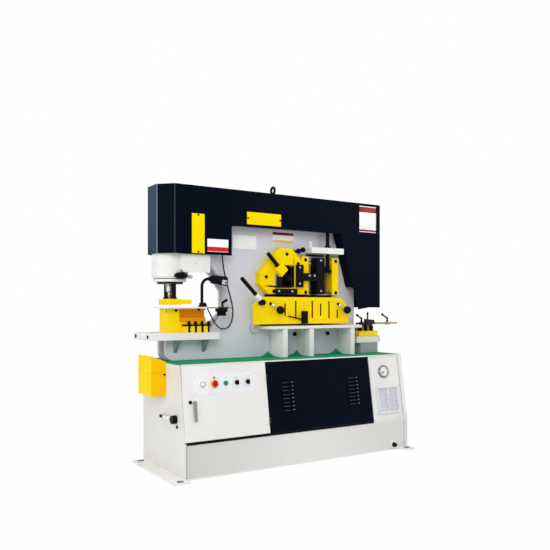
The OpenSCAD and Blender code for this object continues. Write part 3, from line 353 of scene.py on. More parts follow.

# %% [markdown]
# Some nodes change their finish along one axis: the gauge plate is white and its bar olive. The punch cylinder's
# black lower end and thin black band are painted shade under its flange and in the gap above it, and the grey
# undersides of the punch and notch tables are painted shade under their tops. The faces could get several
# materials, but such a border seldom follows the faces. A test of one coordinate draws it anywhere, and the blank
# signs will use the same bands.

# %% Finishes in bands
def banded(name, axis, ground, bands, rough=0.34, grime=0.08, depths=None, gloss=0.25):
    """Paint with bands: each band starts at a place along the axis, in millimetres, and hides the one before.
    With depths, the bands show only between those two Y."""
    material, place = new_finish(name)
    run = coordinate(place, axis)
    slow = cloud(place, 25, 4)
    tone = ground
    for start, band in bands:
        tone = blend(run > start * MM, tone, band)
    if depths:
        depth = coordinate(place, "Y")
        inside = (depth > depths[0] * MM) * (depth < depths[1] * MM)
        tone = blend(inside, ground, tone)
    return finished(material, blend(grime * slow, tone, colour(0.2, 0.19, 0.17)), rough + 0.16 * slow - 0.08,
                    bump(cloud(place, PEEL_SCALE, 2), 0.1, PEEL_DEPTH), gloss)


BLACK = colour(0.006, 0.006, 0.007)
OLIVE = colour(0.40, 0.34, 0.08)
ORANGE = colour(0.60, 0.20, 0.0)
UNDER_SHADE_GREY = colour(0.26, 0.275, 0.28)
FOOT_SHADE_GREY = colour(0.36, 0.37, 0.38)

gauge_tones = banded("gauge_plate_bands", "X", WHITE, [(-604, OLIVE), (-520, BLACK), (-440, OLIVE)])
rod_tones = banded("gauge_rod_bands", "X", BLACK, [(880, OLIVE)])
blade_tones = banded("notcher_bands", "Z", YELLOW, [(862, ORANGE)])
# The punch cylinder's black bands are painted shade under its flange and in the gap between flange and barrel.
barrel_shade_tones = banded("punch_barrel_shade_bands", "Z", BLACK, [(1213, WHITE), (1230, BLACK), (1235, WHITE)])
# The punch table's grey below its top is painted shade under the table.
punch_table_shade_tones = banded("punch_table_shade_bands", "Z", UNDER_SHADE_GREY, [(829, WHITE)])
# The notch table's grey stand is painted shade under the table top.
notch_table_shade_tones = banded("notch_table_shade_bands", "Z", FOOT_SHADE_GREY, [(770, WHITE)])
print("banded finishes mixed")

# %% [markdown]
# Four finishes paint light and shade to follow the form of their node: painted shade makes the guard brown inside
# its slots, the die block orange in its recess and the slug box warmer in front than at its sides, and the left
# cover is painted paler on its lit left side, with painted highlights along its folds. The same bands draw them,
# with a limit in depth where only a recess counts.

# %% Painted shade of slots and recesses, painted light of folds
GUARD_SLOTS = (0, 92, 237, 313, 390, 467)
SLOT_HALF = 6.4
SLOT_SHADE_BROWN = colour(0.09, 0.012, 0.0)
RECESS_SHADE_ORANGE = colour(0.97, 0.38, 0.0)
FRONT_SHADE_YELLOW = colour(0.95, 0.53, 0.0)
COVER_BLACK = colour(0.002, 0.004, 0.010)
FOLD_FAINT_HIGHLIGHT = colour(0.026, 0.034, 0.056)
FOLD_HIGHLIGHT = colour(0.14, 0.165, 0.225)
LIT_SIDE_BLUE = colour(0.016, 0.031, 0.076)

slot_shade_bands = [(x + side * SLOT_HALF, tone) for x in GUARD_SLOTS for side, tone in ((-1, SLOT_SHADE_BROWN), (1, YELLOW))]
guard_shade_tones = banded("guard_slot_bands", "X", YELLOW, slot_shade_bands, grime=0.02, depths=(-59, 0), gloss=0.08)
# The die block's orange recess is painted shade.
die_shade_tones = banded("die_block_shade_bands", "X", YELLOW, [(-764, RECESS_SHADE_ORANGE)], grime=0.02, depths=(60, 100),
                   gloss=0.08)
# The slug box's warmer front is painted shade on the face that looks to the front.
slug_shade_tones = banded("slug_box_shade_bands", "Y", FRONT_SHADE_YELLOW, [(-43.5, YELLOW)], grime=0.02, gloss=0.04)
# The left cover's paler left side is painted light, and its fold lines are painted highlights.
fold_highlight_bands = [(-929.5, FOLD_HIGHLIGHT), (-923, COVER_BLACK), (-842.5, FOLD_FAINT_HIGHLIGHT), (-834, COVER_BLACK)]
cover_light_tones = banded("left_cover_light_bands", "X", LIT_SIDE_BLUE, fold_highlight_bands, 0.36, 0.0, gloss=0.015)
print("fold and slot finishes mixed")

# %% [markdown]
# The front of the base is white, but its skirt grows darker to the left, where less light comes from the floor.
# A lamp that spares one corner is hard to set, so two soft ramps across the skirt carry the shade.

# %% Finish of the skirt
SKIRT_TOP = 0.214
LEFT_SHADE = (-0.95, -0.05)
RIGHT_SHADE = (0.1, 0.7)


def skirt_finish(name):
    material, place = new_finish(name)
    across = coordinate(place, "X")
    slow = cloud(place, 2.2, 4)
    skirt = blend(ramp(across, *LEFT_SHADE), shade(WHITE, 0.75), shade(WHITE, 0.97))
    skirt = blend(ramp(across, *RIGHT_SHADE), skirt, shade(WHITE, 0.9))
    tone = blend(coordinate(place, "Z") > SKIRT_TOP, skirt, WHITE)
    return finished(material, blend(0.06 * slow, tone, SHOP_DUST), 0.3 + 0.16 * slow,
                    bump(cloud(place, PEEL_SCALE, 2), 0.12, PEEL_DEPTH), 0.4)


skirt_tones = skirt_finish("skirt_enamel")
print("skirt finish mixed")

# %% [markdown]
# Each CAD node now takes the finish of the real piece. They could be dressed one by one, but most finishes are
# shared, so one table lists the nodes by their finish, and a loop over it dresses the whole machine.

# %% Finishes of the nodes
FINISHES = {
    white_paint: ["base_plate", "control_door", "tank_panel", "punch_guard", "shear_table", "hold_down_bar",
                  "shear_cylinder"],
    shaded_side_paint: ["cabinet_wrap"],
    skirt_tones: ["cabinet_front"],
    barrel_shade_tones: ["punch_cylinder"],
    punch_table_shade_tones: ["punch_table"],
    notch_table_shade_tones: ["notch_table"],
    grey_paint: ["front_cheek", "rear_cheek"],
    cover_light_tones: ["left_cover"],
    black_paint: ["motor_panel", "middle_cover", "right_cover"],
    slug_shade_tones: ["slug_box"],
    yellow_paint: ["cover_plates", "stripper", "bar_shear_plate", "angle_posts"],
    guard_shade_tones: ["shear_guard"],
    die_shade_tones: ["die_block"],
    gauge_tones: ["gauge_bar"],
    rod_tones: ["notch_gauge"],
    blade_tones: ["notch_die"],
    zinc_plate: ["control_plate", "electrical_plate"],
    grille_shade_paint: ["vent_grille"],
    blue_paint: ["power_unit"],
    tank_paint: ["oil_tank"],
    green_mat: ["deck_plate"],
    punch_steel: ["punch"],
    ground_steel: ["punch_ram"],
    rim_steel: ["oil_gauge"],
    chrome: ["door_handle"],
    black_steel: ["stripper_posts", "clamp_bolts", "guard_stop", "blade_clamp", "hold_down_screw", "shear_slide",
                  "lifting_eye"],
    black_plastic: ["selector_left", "selector_right", "isolator_handle", "gauge_lever", "lamp_stem", "lamp_head",
                    "guard_lever_left", "guard_lever_right", "hold_down_lever", "notch_lever_left",
                    "notch_lever_right", "bar_clamp"],
    red_plastic: ["estop_button"],
    green_plastic: ["start_button"],
}


def dress(thing, material):
    thing.data.materials.clear()
    thing.data.materials.append(material)


for material, names in FINISHES.items():
    for name in names:
        dress(nodes[name], material)
dress(cable, cable_rubber)
print("nodes dressed", sum(len(names) for names in FINISHES.values()))

# %% [markdown]
# The small fittings are modelled here. Each one starts from a disc, a ring or a block and is extruded,
# scaled and bevelled in edit mode. A profile could also be spun, but extruding a disc from step to step gives
# the same turned piece and closes its ends by itself. Sizes are in millimetres, as in the CAD source.

# %% Modelling tools
MERGE_GAP = 0.01 * MM
FACING = 0.9
UP, DOWN, RIGHT = Vector((0, 0, 1)), Vector((0, 0, -1)), Vector((1, 0, 0))


def turned(profile, corners=32, ring=False):
    """A turned piece: a disc, or the edge of one for a ring, is extruded and scaled from step to step."""
    (radius, height), *steps = profile
    bpy.ops.object.select_all(action="DESELECT")
    bpy.ops.mesh.primitive_circle_add(vertices=corners, radius=radius * MM, location=(0, 0, height * MM),
                                      fill_type="NOTHING" if ring else "NGON")
    bpy.ops.object.transform_apply(location=True)
    bpy.ops.object.mode_set(mode="EDIT")
    bpy.ops.mesh.select_mode(type="VERT")
    bpy.ops.mesh.select_all(action="SELECT")
    for next_radius, next_height in steps + ([profile[0]] if ring else []):
        bpy.ops.mesh.extrude_region_move(
            TRANSFORM_OT_translate={"value": (0, 0, (next_height - height) * MM)})
        bpy.ops.transform.resize(value=(next_radius / radius, next_radius / radius, 1))
        radius, height = next_radius, next_height
    bpy.ops.mesh.select_all(action="SELECT")
    bpy.ops.mesh.remove_doubles(threshold=MERGE_GAP)
    bpy.ops.mesh.normals_make_consistent(inside=False)
    bpy.ops.object.mode_set(mode="OBJECT")
    return bpy.context.object


def block(length, width, height, soft):
    """A block on its origin with softened edges."""
    bpy.ops.object.select_all(action="DESELECT")
    bpy.ops.mesh.primitive_cube_add(size=MM, location=(0, 0, height * MM / 2), scale=(length, width, height))
    bpy.ops.object.transform_apply(location=True, scale=True)
    bpy.ops.object.mode_set(mode="EDIT")
    bpy.ops.mesh.select_all(action="SELECT")
    bpy.ops.mesh.bevel(offset=soft * MM, segments=2, affect="EDGES")
    bpy.ops.object.mode_set(mode="OBJECT")
    return bpy.context.object


def pull(thing, way, inset, rise):
    """Insets the faces that look one way and extrudes them along their normal."""
    bpy.ops.object.mode_set(mode="EDIT")
    bpy.ops.mesh.select_mode(type="FACE")
    bpy.ops.mesh.select_all(action="DESELECT")
    shape = bmesh.from_edit_mesh(thing.data)
    for face in shape.faces:
        face.select_set(face.normal.dot(way) > FACING)
    bmesh.update_edit_mesh(thing.data)
    bpy.ops.mesh.inset(thickness=inset * MM, depth=0)
    bpy.ops.mesh.extrude_region_shrink_fatten(TRANSFORM_OT_shrink_fatten={"value": rise * MM})
    bpy.ops.object.mode_set(mode="OBJECT")


print("tools: turned pieces, blocks and pulled faces")

# %% [markdown]
# A modelled piece is copied to its places and joined to one piece, which rides on a body. An array could repeat
# it, but the places seldom lie on one line.

# %% Fitting tools
SMOOTH_ANGLE = math.radians(32)


def fit(seed, places, name, finish, body="machine"):
    """Sets a copy with its own mesh at each place, joins the copies and hands the piece to a body."""
    copies = []
    for place in places:
        copy = seed.copy()
        copy.data = seed.data.copy()
        copy.matrix_world = place
        bpy.context.scene.collection.objects.link(copy)
        copies.append(copy)
    bpy.data.objects.remove(seed)
    piece = copies[0]
    bpy.ops.object.select_all(action="DESELECT")
    for copy in copies:
        copy.select_set(True)
    bpy.context.view_layer.objects.active = piece
    if len(copies) > 1:
        bpy.ops.object.join()
    bpy.ops.object.transform_apply(location=True, rotation=True, scale=True)
    bpy.ops.object.shade_smooth_by_angle(angle=SMOOTH_ANGLE)
    piece.name = name
    dress(piece, finish)
    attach(piece, body)
    print(name, len(piece.data.polygons), "faces on", body)


# %% [markdown]
# A place is a matrix whose Z axis points out of the surface. A point and three angles could say the same, but
# matrices can be multiplied. The sloping front has one matrix for all its fittings, and the upright faces have
# theirs.

# %% Places
BASE_Y = -350
FRAME_Y = 50
COVER_Y = -45
SLOPE_Z = 222
SLOPE_BACK, SLOPE_UP = 72, 463
LEAN = math.atan2(SLOPE_BACK, SLOPE_UP)
QUARTER = math.pi / 2
LEVEL = Matrix.Rotation(QUARTER, 4, "Z")
UP_THE_SLOPE = Matrix.Rotation(-QUARTER, 4, "X")


def at(x, y, z):
    """A place on a face that looks up."""
    return Matrix.Translation(Vector((x, y, z)) * MM)


def on_slope(x, up, out):
    """A place on the sloping front: along it, up it and out of it."""
    return at(0, BASE_Y, SLOPE_Z) @ Matrix.Rotation(QUARTER - LEAN, 4, "X") @ at(x, up, out)


def on_front(x, y, z):
    """A place on an upright face that looks to the front."""
    return at(x, y, z) @ Matrix.Rotation(QUARTER, 4, "X")


def on_left(x, y, z):
    """A place on a face that looks to the left. LEVEL after it lays a piece's length along Y."""
    return at(x, y, z) @ Matrix.Rotation(-QUARTER, 4, "Y")


def along(start, way):
    """A place whose Z axis runs along a direction."""
    return at(*start) @ Vector(way).to_track_quat("Z", "Y").to_matrix().to_4x4()


print("the front leans back by", round(math.degrees(LEAN), 2), "degrees")

# %% [markdown]
# Socket screws hold the shear blocks and the die block. A hole could be cut into a cylinder, but a disc that
# goes up to its rim, in to the socket and down to the socket's floor gives the head with few faces.

# %% Socket screws
BLOCK_SCREWS = [(50, 1428), (-125, 1260), (148, 1361), (-62, 1159),
                (214.8, 1155), (214.8, 1393), (492.2, 1155), (492.2, 1393)]
DIE_SCREWS = [(-790, 50, 1024), (-614, 72, 1029)]
CLAMP_SCREWS = [(142, 1216), (142, 1334), (227, 1276), (272, 1277),
                (331, 1165), (331, 1390), (75, 1160), (-38, 1160)]
TABLE_SCREWS_Y = (13.4, 226.6)
BLOCK_FACE_Y, CLAMP_FACE_Y = -2, -36
TABLE_END_X, TABLE_SCREWS_Z = -994, 853.5


def socket_screw(radius):
    steps = [(1, 0), (1, 0.7), (0.88, 0.82), (0.56, 0.82), (0.52, 0.4)]
    return turned([(reach * radius, rise * radius) for reach, rise in steps], 24)


fit(socket_screw(11.5), [on_front(x, BLOCK_FACE_Y, z) for x, z in BLOCK_SCREWS], "block_screws", black_steel)
fit(socket_screw(9), [on_front(*place) for place in DIE_SCREWS], "die_screws", black_steel)
fit(socket_screw(8), [on_front(x, CLAMP_FACE_Y, z) for x, z in CLAMP_SCREWS], "clamp_screws", ground_steel)
fit(socket_screw(12), [on_left(TABLE_END_X, y, TABLE_SCREWS_Z) for y in TABLE_SCREWS_Y], "table_end_screws",
    black_steel)

# %% [markdown]
# Low domed screws hold the sheet panels and the yellow plates. Half a sphere would do, but a few steps of a disc
# are enough at this size, and the last one sinks in as the drive. The slug box also gets the edge of its lid.

# %% Panel screws
SLUG_BOX_Y = -45
PLATE_T, COVER_PLATE_T, GRILLE_T = 2, 3, 9
CONTROL_SCREWS = [(x, up) for x in (-818, -390) for up in (298, 399)]
MOTOR_SCREWS = [(x, up) for x in (-276, 138, 553) for up in (22, 448)]
GRILLE_SCREWS = [(x, up) for x in (628, 824) for up in (63, 235)]
COVER_SCREWS = [(-673, 1410), (-673, 1652), (-296, 1659), (-35, 1659)]


def domed_screw(radius):
    steps = [(1, 0), (1, 0.25), (0.8, 0.5), (0.45, 0.64), (0.3, 0.4)]
    return turned([(reach * radius, rise * radius) for reach, rise in steps], 20)


fit(domed_screw(4), [on_slope(x, up, PLATE_T) for x, up in CONTROL_SCREWS], "control_plate_screws", chrome,
    "door")
fit(domed_screw(6), [on_slope(x, up, 0) for x, up in MOTOR_SCREWS], "motor_panel_screws", black_steel)
fit(domed_screw(3.6), [on_slope(x, up, GRILLE_T) for x, up in GRILLE_SCREWS], "grille_screws", chrome)
fit(domed_screw(6.5), [on_front(x, COVER_Y - COVER_PLATE_T, z) for x, z in COVER_SCREWS], "cover_plate_screws",
    black_steel)
fit(domed_screw(7), [on_front(-911, SLUG_BOX_Y, 614)], "slug_box_screw", black_steel)
fit(block(98, 5, 2.6, 0.8), [on_front(-949.5, SLUG_BOX_Y, 630)], "slug_lid_edge", slug_shade_tones)

# %% [markdown]
# The signs are thin blank plates with fields of colour. Each field could be a plate of its own, but the bands
# from above draw them on one plate. A field starts at a height above the floor.

# %% Signs
SIGN_T = 1.2
SIGN_RED = colour(0.72, 0.004, 0.02)
SIGN_DARK_RED = colour(0.32, 0.006, 0.016)
SIGN_WHITE = colour(0.95, 0.95, 0.95)
SIGN_YELLOW = colour(0.90, 0.60, 0.06)

SIGNS = [
    ("sign_left_cover", -606, -449, 1415, 1500, COVER_Y, SIGN_WHITE, [(1418, SIGN_RED), (1448, SIGN_WHITE)]),
    ("sign_right_cover", 692, 858, 1625, 1826, COVER_Y, SIGN_WHITE,
     [(1631, SIGN_DARK_RED), (1645, SIGN_WHITE), (1778, SIGN_DARK_RED), (1820, SIGN_WHITE)]),
    ("sign_frame_left", -362, -172, 1455, 1551, FRAME_Y, SIGN_WHITE, []),
    ("sign_frame_right", -35, 143, 1515, 1588, FRAME_Y, SIGN_YELLOW,
     [(1533, SIGN_WHITE), (1569, SIGN_DARK_RED)]),
]
for name, left, right, low, high, y, ground, fields in SIGNS:
    fit(block(right - left, high - low, SIGN_T, 0.4), [on_front((left + right) / 2, y, (low + high) / 2)], name,
        banded(name, "Z", ground, fields, 0.3, 0.04))

# %% [markdown]
# The buttons stand in rings: a wide yellow one around the emergency stop and plated ones around the others. A
# torus would be too round, so the edge of a disc is extruded around the ring's flat section. The small lamps
# over the buttons get caps.

# %% Button rings and lamp caps
BUTTONS_UP = 348.56
CAPS_UP = BUTTONS_UP + 39
LAMP_X, STOP_X, START_X, *SELECTORS_X = range(-764, -440, 80)


def button_ring(inner, outer, height):
    return turned([(outer, 0), (outer, height - 1), (outer - 1, height), (inner + 0.6, height),
                   (inner, height - 0.6), (inner, 0)], ring=True)


fit(button_ring(12, 28, 4), [on_slope(STOP_X, BUTTONS_UP, PLATE_T)], "stop_ring", amber_plastic, "door")
fit(button_ring(13, 17, 5), [on_slope(START_X, BUTTONS_UP, PLATE_T)], "start_ring", chrome, "door")
fit(button_ring(14, 18, 4), [on_slope(LAMP_X, BUTTONS_UP, PLATE_T)], "lamp_ring", chrome, "door")
for name, xs, finish in (("lamp_cap_red", [STOP_X], dark_red_plastic),
                         ("lamp_cap_clear", [START_X, *SELECTORS_X], white_plastic)):
    cap = turned([(5.6, 0), (5.6, 4), (5, 6), (3.4, 7.4), (1.2, 8)], 20)
    fit(cap, [on_slope(x, CAPS_UP, PLATE_T) for x in xs], name, finish, "door")

# %% [markdown]
# The oil gauge shows a pale dial with ticks and a needle. Each tick could be a tiny block, but the real ones are
# printed, so they come from the angle and the distance to the middle of the dial, worked out from the Object
# coordinates.

# %% Oil gauge
GAUGE = (712, 353.56)
GAUGE_FLOOR = on_slope(*GAUGE, 6)
GAUGE_FACE = on_slope(*GAUGE, 7)
NEEDLE_TURN = math.radians(215)
TICKS = 24
TICK_SHARE = 0.2
TICK_BAND = (0.024, 0.031)


def dial_finish(name):
    material, place = new_finish(name)
    middle = GAUGE_FLOOR.translation
    across = coordinate(place, "X") - middle.x
    rise = (coordinate(place, "Z") - middle.z) * (1 / math.cos(LEAN))
    angle = across.math("ARCTAN2", rise, across)
    reach = across.math("SQRT", across * across + rise * rise, 0)
    tick = across.math("FRACT", angle * (TICKS / math.tau) + TICK_SHARE / 2, 0) < TICK_SHARE
    band = (reach > TICK_BAND[0]) * (reach < TICK_BAND[1])
    haze = cloud(place, 60, 3)
    card = blend(haze, colour(0.78, 0.78, 0.76), colour(0.86, 0.86, 0.85))
    return finished(material, blend(tick * band, card, colour(0.02, 0.02, 0.02)), 0.2 + 0.2 * haze)


dial = turned([(35.4, 0), (35.4, 0.6), (34.8, 1)], 48)
fit(dial, [GAUGE_FLOOR], "gauge_dial", dial_finish("gauge_dial_print"))
needle_place = GAUGE_FACE @ Matrix.Rotation(NEEDLE_TURN, 4, "Z") @ at(9, 0, 0)
fit(block(32, 6, 1.6, 0.5), [needle_place], "gauge_needle", black_plastic)
fit(turned([(6, 0), (6, 2.4), (4.6, 3.4), (1.5, 3.8)], 20), [GAUGE_FACE], "gauge_hub", chrome)

# %% [markdown]
# The work lamp's glass sits inside the mouth of the head, which looks to the right and a little down. Four ribs
# cool the head, and a small switch window sits on its side. Each could get a place of its own, but they share
# the head's axis, so one matrix places them all.

# %% Lamp glass
HEAD_TILT = math.radians(6)
HEAD = along((-562.7, 17, 1237), (math.cos(HEAD_TILT), 0, -math.sin(HEAD_TILT)))
RIB_PITCH = 8
WINDOW_TURN = math.radians(-158)

glass = turned([(26, 100), (26, 104), (24, 107), (16, 109.6), (5, 110.6)], 40)
fit(glass, [HEAD], "lamp_glass", white_plastic)
ribs = turned([(29, 32), (30.4, 33), (30.4, 35), (29, 36), (28, 36), (28, 32)], 40, True)
fit(ribs, [HEAD @ at(0, 0, RIB_PITCH * step) for step in range(4)], "lamp_ribs", black_plastic)
rim = turned([(31, 106), (32, 108), (33.4, 127), (32.6, 128.4), (30.4, 128), (29.4, 108)], 40, True)
fit(rim, [HEAD], "lamp_rim", black_plastic)
window = block(34, 30, 6, 2)
pull(window, UP, 3, -2)
window_place = HEAD @ Matrix.Rotation(WINDOW_TURN, 4, "Z") @ at(27.5, 0, 104) @ Matrix.Rotation(QUARTER, 4, "Y")
fit(window, [window_place], "lamp_window", white_plastic)

# %% [markdown]
# Sleeves tell the levers apart: the hold-down lever has a white one at the foot of its grip, the knobs of the
# guard sit on plated arms, and the isolator carries a pale bar. A band of colour would leave the form as it is,
# so each sleeve is a piece a little larger than what it covers, and it rides on its lever.

# %% Lever sleeves
ARM_WAY = (57, -34, -45)

sleeve = turned([(18, 28), (20, 30), (20, 34), (18.6, 70), (18.4, 74), (16, 75.5)], 40)
fit(sleeve, [along((-203, -85, 1078), (-1, 0, 1))], "lever_sleeve", white_plastic, "hold_down_lever")
for side, x in (("left", -123), ("right", 471)):
    arm = turned([(6.4, 6), (7.4, 8), (7.4, 50), (6.4, 52)], 24)
    fit(arm, [along((x, -68, 1070), ARM_WAY)], "knob_arm_" + side, chrome, "guard_lever_" + side)
grip_bar = block(112, 19.4, 15.4, 1.6)
fit(grip_bar, [on_left(-915.3, -112, 350) @ LEVEL], "isolator_bar", zinc_plate, "isolator_handle")

# %% [markdown]
# Ball studs stand above the bar shear and a peg on the hold-down bar. A ball could be a sphere of its own, but
# as the last steps of the stud's profile it grows out of the neck without a gap. The limit switch beside the
# punch cylinder is a turned piece that is stretched to an oval.

# %% Studs and switch
BALL_R, BALL_OUT = 19, 66

ball_angles = [math.radians(degrees) for degrees in range(35, 176, 14)]
ball = [(BALL_R * math.sin(angle), BALL_OUT - BALL_R * math.cos(angle)) for angle in ball_angles]
stud = turned([(14, 0), (14, 6), (9, 8), (9, 46)] + ball, 32)
fit(stud, [on_front(145, FRAME_Y, 1454), on_front(185, FRAME_Y, 1465)], "ball_studs", black_steel)
peg = turned([(15, 0), (15, 6), (11, 9), (11, 32), (13, 36), (13, 44), (9, 49), (2, 50)], 28)
fit(peg, [at(266, 4, 1486.6)], "bar_peg", white_paint)
switch = turned([(21, 0), (21, 24), (19, 28), (14, 30), (13, 28), (3, 28)], 40)
fit(switch, [on_front(-781, 3, 1253) @ Matrix.Diagonal((2.1, 1, 1, 1))], "limit_switch", black_plastic)
nose = block(44, 24, 20, 3)
pull(nose, RIGHT, 5, 6)
fit(nose, [on_front(-722, 8, 1247)], "limit_switch_nose", ground_steel)

# %% [markdown]
# The frame carries a round cap. The dark ring around it is painted shadow at the cap's edge, and the dark strip
# under the section blades is painted shade in the gap above the guard. The ring could be a band of colour, but as
# a piece of its own it stands around the cap and throws a fine shadow.

# %% Frame cap and strip
CAP = on_front(-184, FRAME_Y, 898)

fit(turned([(40, 0), (40, 8), (38, 10), (33, 10), (32, 8.6), (3, 8.6)], 48), [CAP], "frame_cap", grey_paint)
# The dark ring is painted shadow around the cap.
fit(turned([(43, 0), (43, 3), (42, 4), (40.6, 4), (40.2, 0)], 48, True), [CAP], "frame_cap_shadow_ring", tank_paint)
# The black strip is painted shade in the gap between the guard and the blade plates.
fit(block(590, 15, 18, 1.5), [on_front(190, FRAME_Y, 1128.5)], "blade_gap_shade", black_steel)

# %% [markdown]
# The bar shear clamps a bar between the screw's foot and a rest. Its window is lined with painted shade, a dark
# liner with a bright strip of painted highlight, and the dark of a slit in the plate above it is painted shade on
# a thin block. The slit could be cut, but a thin dark block looks the same from outside and leaves the plate whole.

# %% Bar shear
foot = turned([(12, 16), (15.4, 20), (16, 24), (16, 100), (13, 106), (5, 107)], 32)
fit(foot, [along((-16, -30, 1315), (1, 0, -1))], "bar_clamp_foot", black_steel, "bar_clamp")
fit(block(198, 10.4, 11, 1.5), [on_front(-2, -1.5, 1194)], "bar_rest", black_steel)
# The dark liner is painted shade inside the window, and its bright strip is a painted highlight.
fit(block(58, 148, 1.4, 0.3), [on_left(111.8, 19.6, 1267) @ LEVEL], "bar_window_shade_liner", black_steel)
fit(block(13, 140, 1, 0.3), [on_left(110.5, 24, 1267) @ LEVEL], "bar_window_highlight_strip", ground_steel)
# The plate slit is a thin block of painted shade in place of the slit's dark inside.
fit(block(5, 58, 0.8, 0.2), [on_front(108, -9.6, 1377)], "plate_slit", slot_shade_paint)

# %% [markdown]
# The angle shear has two blades, rods between its posts, a beam behind the hold-down bar and a collar at the end
# of the hold-down screw. Only their edges show between the posts, so plain blocks and turned pieces are enough.
# The collar rides on the screw and moves with it. The olive upper band of the flat blade is painted reflection of
# the yellow posts, and the side blade's orange is painted shade on the side of the right post.

# %% Angle shear
ROD_START = 240.3


def rod():
    return turned([(4.5, 0), (5.2, 1), (5.2, 213.4), (4.5, 214.4)], 20)


angle_blade_reflection_tones = banded("angle_blade_reflection_bands", "Z", colour(0.42, 0.40, 0.33), [(1300, colour(0.60, 0.46, 0.05))])
fit(block(55, 262, 3.5, 0.6), [on_front(268.5, 49.5, 1276)], "angle_blade", angle_blade_reflection_tones)
fit(block(26, 186, 6, 0.8), [on_left(454.6, 64, 1255) @ LEVEL], "angle_side_blade", blade_shade_orange)
fit(rod(), [along((ROD_START, 44.2, z), (1, 0, 0)) for z in (1373, 1401)], "guide_rods", white_paint)
fit(rod(), [along((ROD_START, 6, 1153), (1, 0, 0))], "lower_rod", black_steel)
fit(block(158, 12, 14, 2), [on_front(317, 26, 1430)], "upper_beam", black_steel)
collar = turned([(30, 1), (33, 3), (33, 11), (30, 14), (20, 22), (18, 30), (18, 46), (15, 48)], 40)
fit(collar, [at(425, 5, 1306)], "screw_collar", black_steel, "hold_down_screw")

# %% [markdown]
# Three ribs stiffen the frame under the shear table. The mat runs up at their feet, and two bolts hold the
# table. A foot could be sculpted, but a wide disc that narrows in a curve as it rises looks like a mat that is
# pushed up.

# %% Ribs and table bolts
RIBS_X = (-79, 172, 535)

fit(block(7, 176, 6, 1.2), [on_front(x, FRAME_Y, 790) for x in RIBS_X], "frame_ribs", white_paint)
mat_foot = turned([(62, 0), (40, 7), (22, 16), (9, 27), (2, 36)], 40)
fit(mat_foot, [at(x, 46, 694) for x in RIBS_X], "rib_feet", green_mat)
fit(socket_screw(15), [on_front(x, FRAME_Y, 848) for x in (153, 455)], "table_bolts", black_steel)

# %% [markdown]
# The skirt has a drain plug in a boss. The door and the left side have locks, and the door's handle has a dark
# strip of painted shadow. All but that strip are turned, and a disc with six corners makes the plug a hexagon at
# once.

# %% Drain and locks
def lock():
    return turned([(11, 0), (11, 3), (9.6, 5), (6, 5), (5.6, 3.6)], 28)


boss = turned([(29, 0), (29, 8), (27, 10), (19, 10), (18.4, 3)], 40)
fit(boss, [on_front(758, BASE_Y, 40)], "drain_boss", zinc_plate)
plug = turned([(15, 0), (15, 24), (13, 28), (8, 28), (7, 20)], 6)
fit(plug, [on_front(758, BASE_Y - 3, 38)], "drain_plug", black_steel)
fit(lock(), [on_slope(-855, 246, 0)], "door_lock", black_plastic, "door")
# The dark strip on the handle is painted shadow.
fit(block(7, 60, 2.2, 0.8), [on_slope(-828, 176, 13)], "handle_shadow_strip", tank_paint, "door_handle")
fit(lock(), [on_left(-900, -220, 306)], "side_lock", black_plastic)

# %% [markdown]
# Thin sleeves paint the knuckles of the door's hinges black: the lower ones stay on the base, the upper ones
# turn. Black bands in the paint would colour the sheet behind too, so each knuckle gets a tube around it.

# %% Hinge sleeves
HINGES_UP = (60, 338.56)
HINGE_X, HINGE_OUT = -299.5, 6.5
KNUCKLE_PITCH = 20.6

for name, body, lift in (("hinge_sleeves_fixed", "machine", 0),
                         ("hinge_sleeves_door", "door", KNUCKLE_PITCH)):
    tube = turned([(5.5, 0.4), (5.5, 19.4), (5.04, 19.4), (5.04, 0.4)], 24, True)
    places = [on_slope(HINGE_X, up + lift, HINGE_OUT) @ UP_THE_SLOPE for up in HINGES_UP]
    fit(tube, places, name, black_paint, body)

# %% [markdown]
# At the punch, a rail lies over the clamp bolts, and the gauge bar has a carrier and a grip on its lever. The
# carrier could be two blocks, but pulling its lower face down keeps it one casting. A dark rubber flap hangs at
# the outlet of the flat shear as painted shade, so the gap under the guard looks dark.

# %% Punch station and outlet
GRIP_LEAN = math.radians(60)

fit(block(204, 24, 11, 2), [at(-647.5, 36, 919)], "clamp_rail", black_steel)
carrier = block(84, 26, 22, 3)
pull(carrier, DOWN, 7, 30)
fit(carrier, [at(-489, -22, 1015.4)], "gauge_carrier", black_steel)
grip = turned([(6.2, 3), (9, 7), (9.4, 20), (9, 28), (6.2, 31)], 28)
fit(grip, [along((-481, -22, 1075.5), (math.sin(GRIP_LEAN), 0, math.cos(GRIP_LEAN)))], "gauge_lever_grip",
    black_plastic, "gauge_lever")
fit(block(20, 9, 2, 0.8), [on_left(-848, 70, 1020)], "die_slot_plate", black_steel)
# The flap is a dark sheet of painted shade behind the gap under the guard.
fit(block(700, 46, 4, 1), [on_front(190, 194, 921)], "outlet_shade_flap", cable_rubber)

# %% [markdown]
# The motor panel's louvres get painted highlights, paler lips along their edges and glints at their ends, and
# the vent grille a middle bar and a rim. The rim could be four bars, but a disc with four corners is a square, so
# it is turned as a ring and scaled to the grille. A seal closes the gap under the front panels, and a ledge ends
# the tank panel.

# %% Front panels
LOUVRES_X, LOUVRES_UP, LOUVRE_PITCH = (-190, 365), 140.7, 26
LOUVRES = [(x, LOUVRES_UP + LOUVRE_PITCH * step) for x in LOUVRES_X for step in range(8)]
GRILLE = (726, 149)
GRILLE_SHAPE = Matrix.Diagonal((1, 0.885, 1, 1)) @ Matrix.Rotation(QUARTER / 2, 4, "Z")

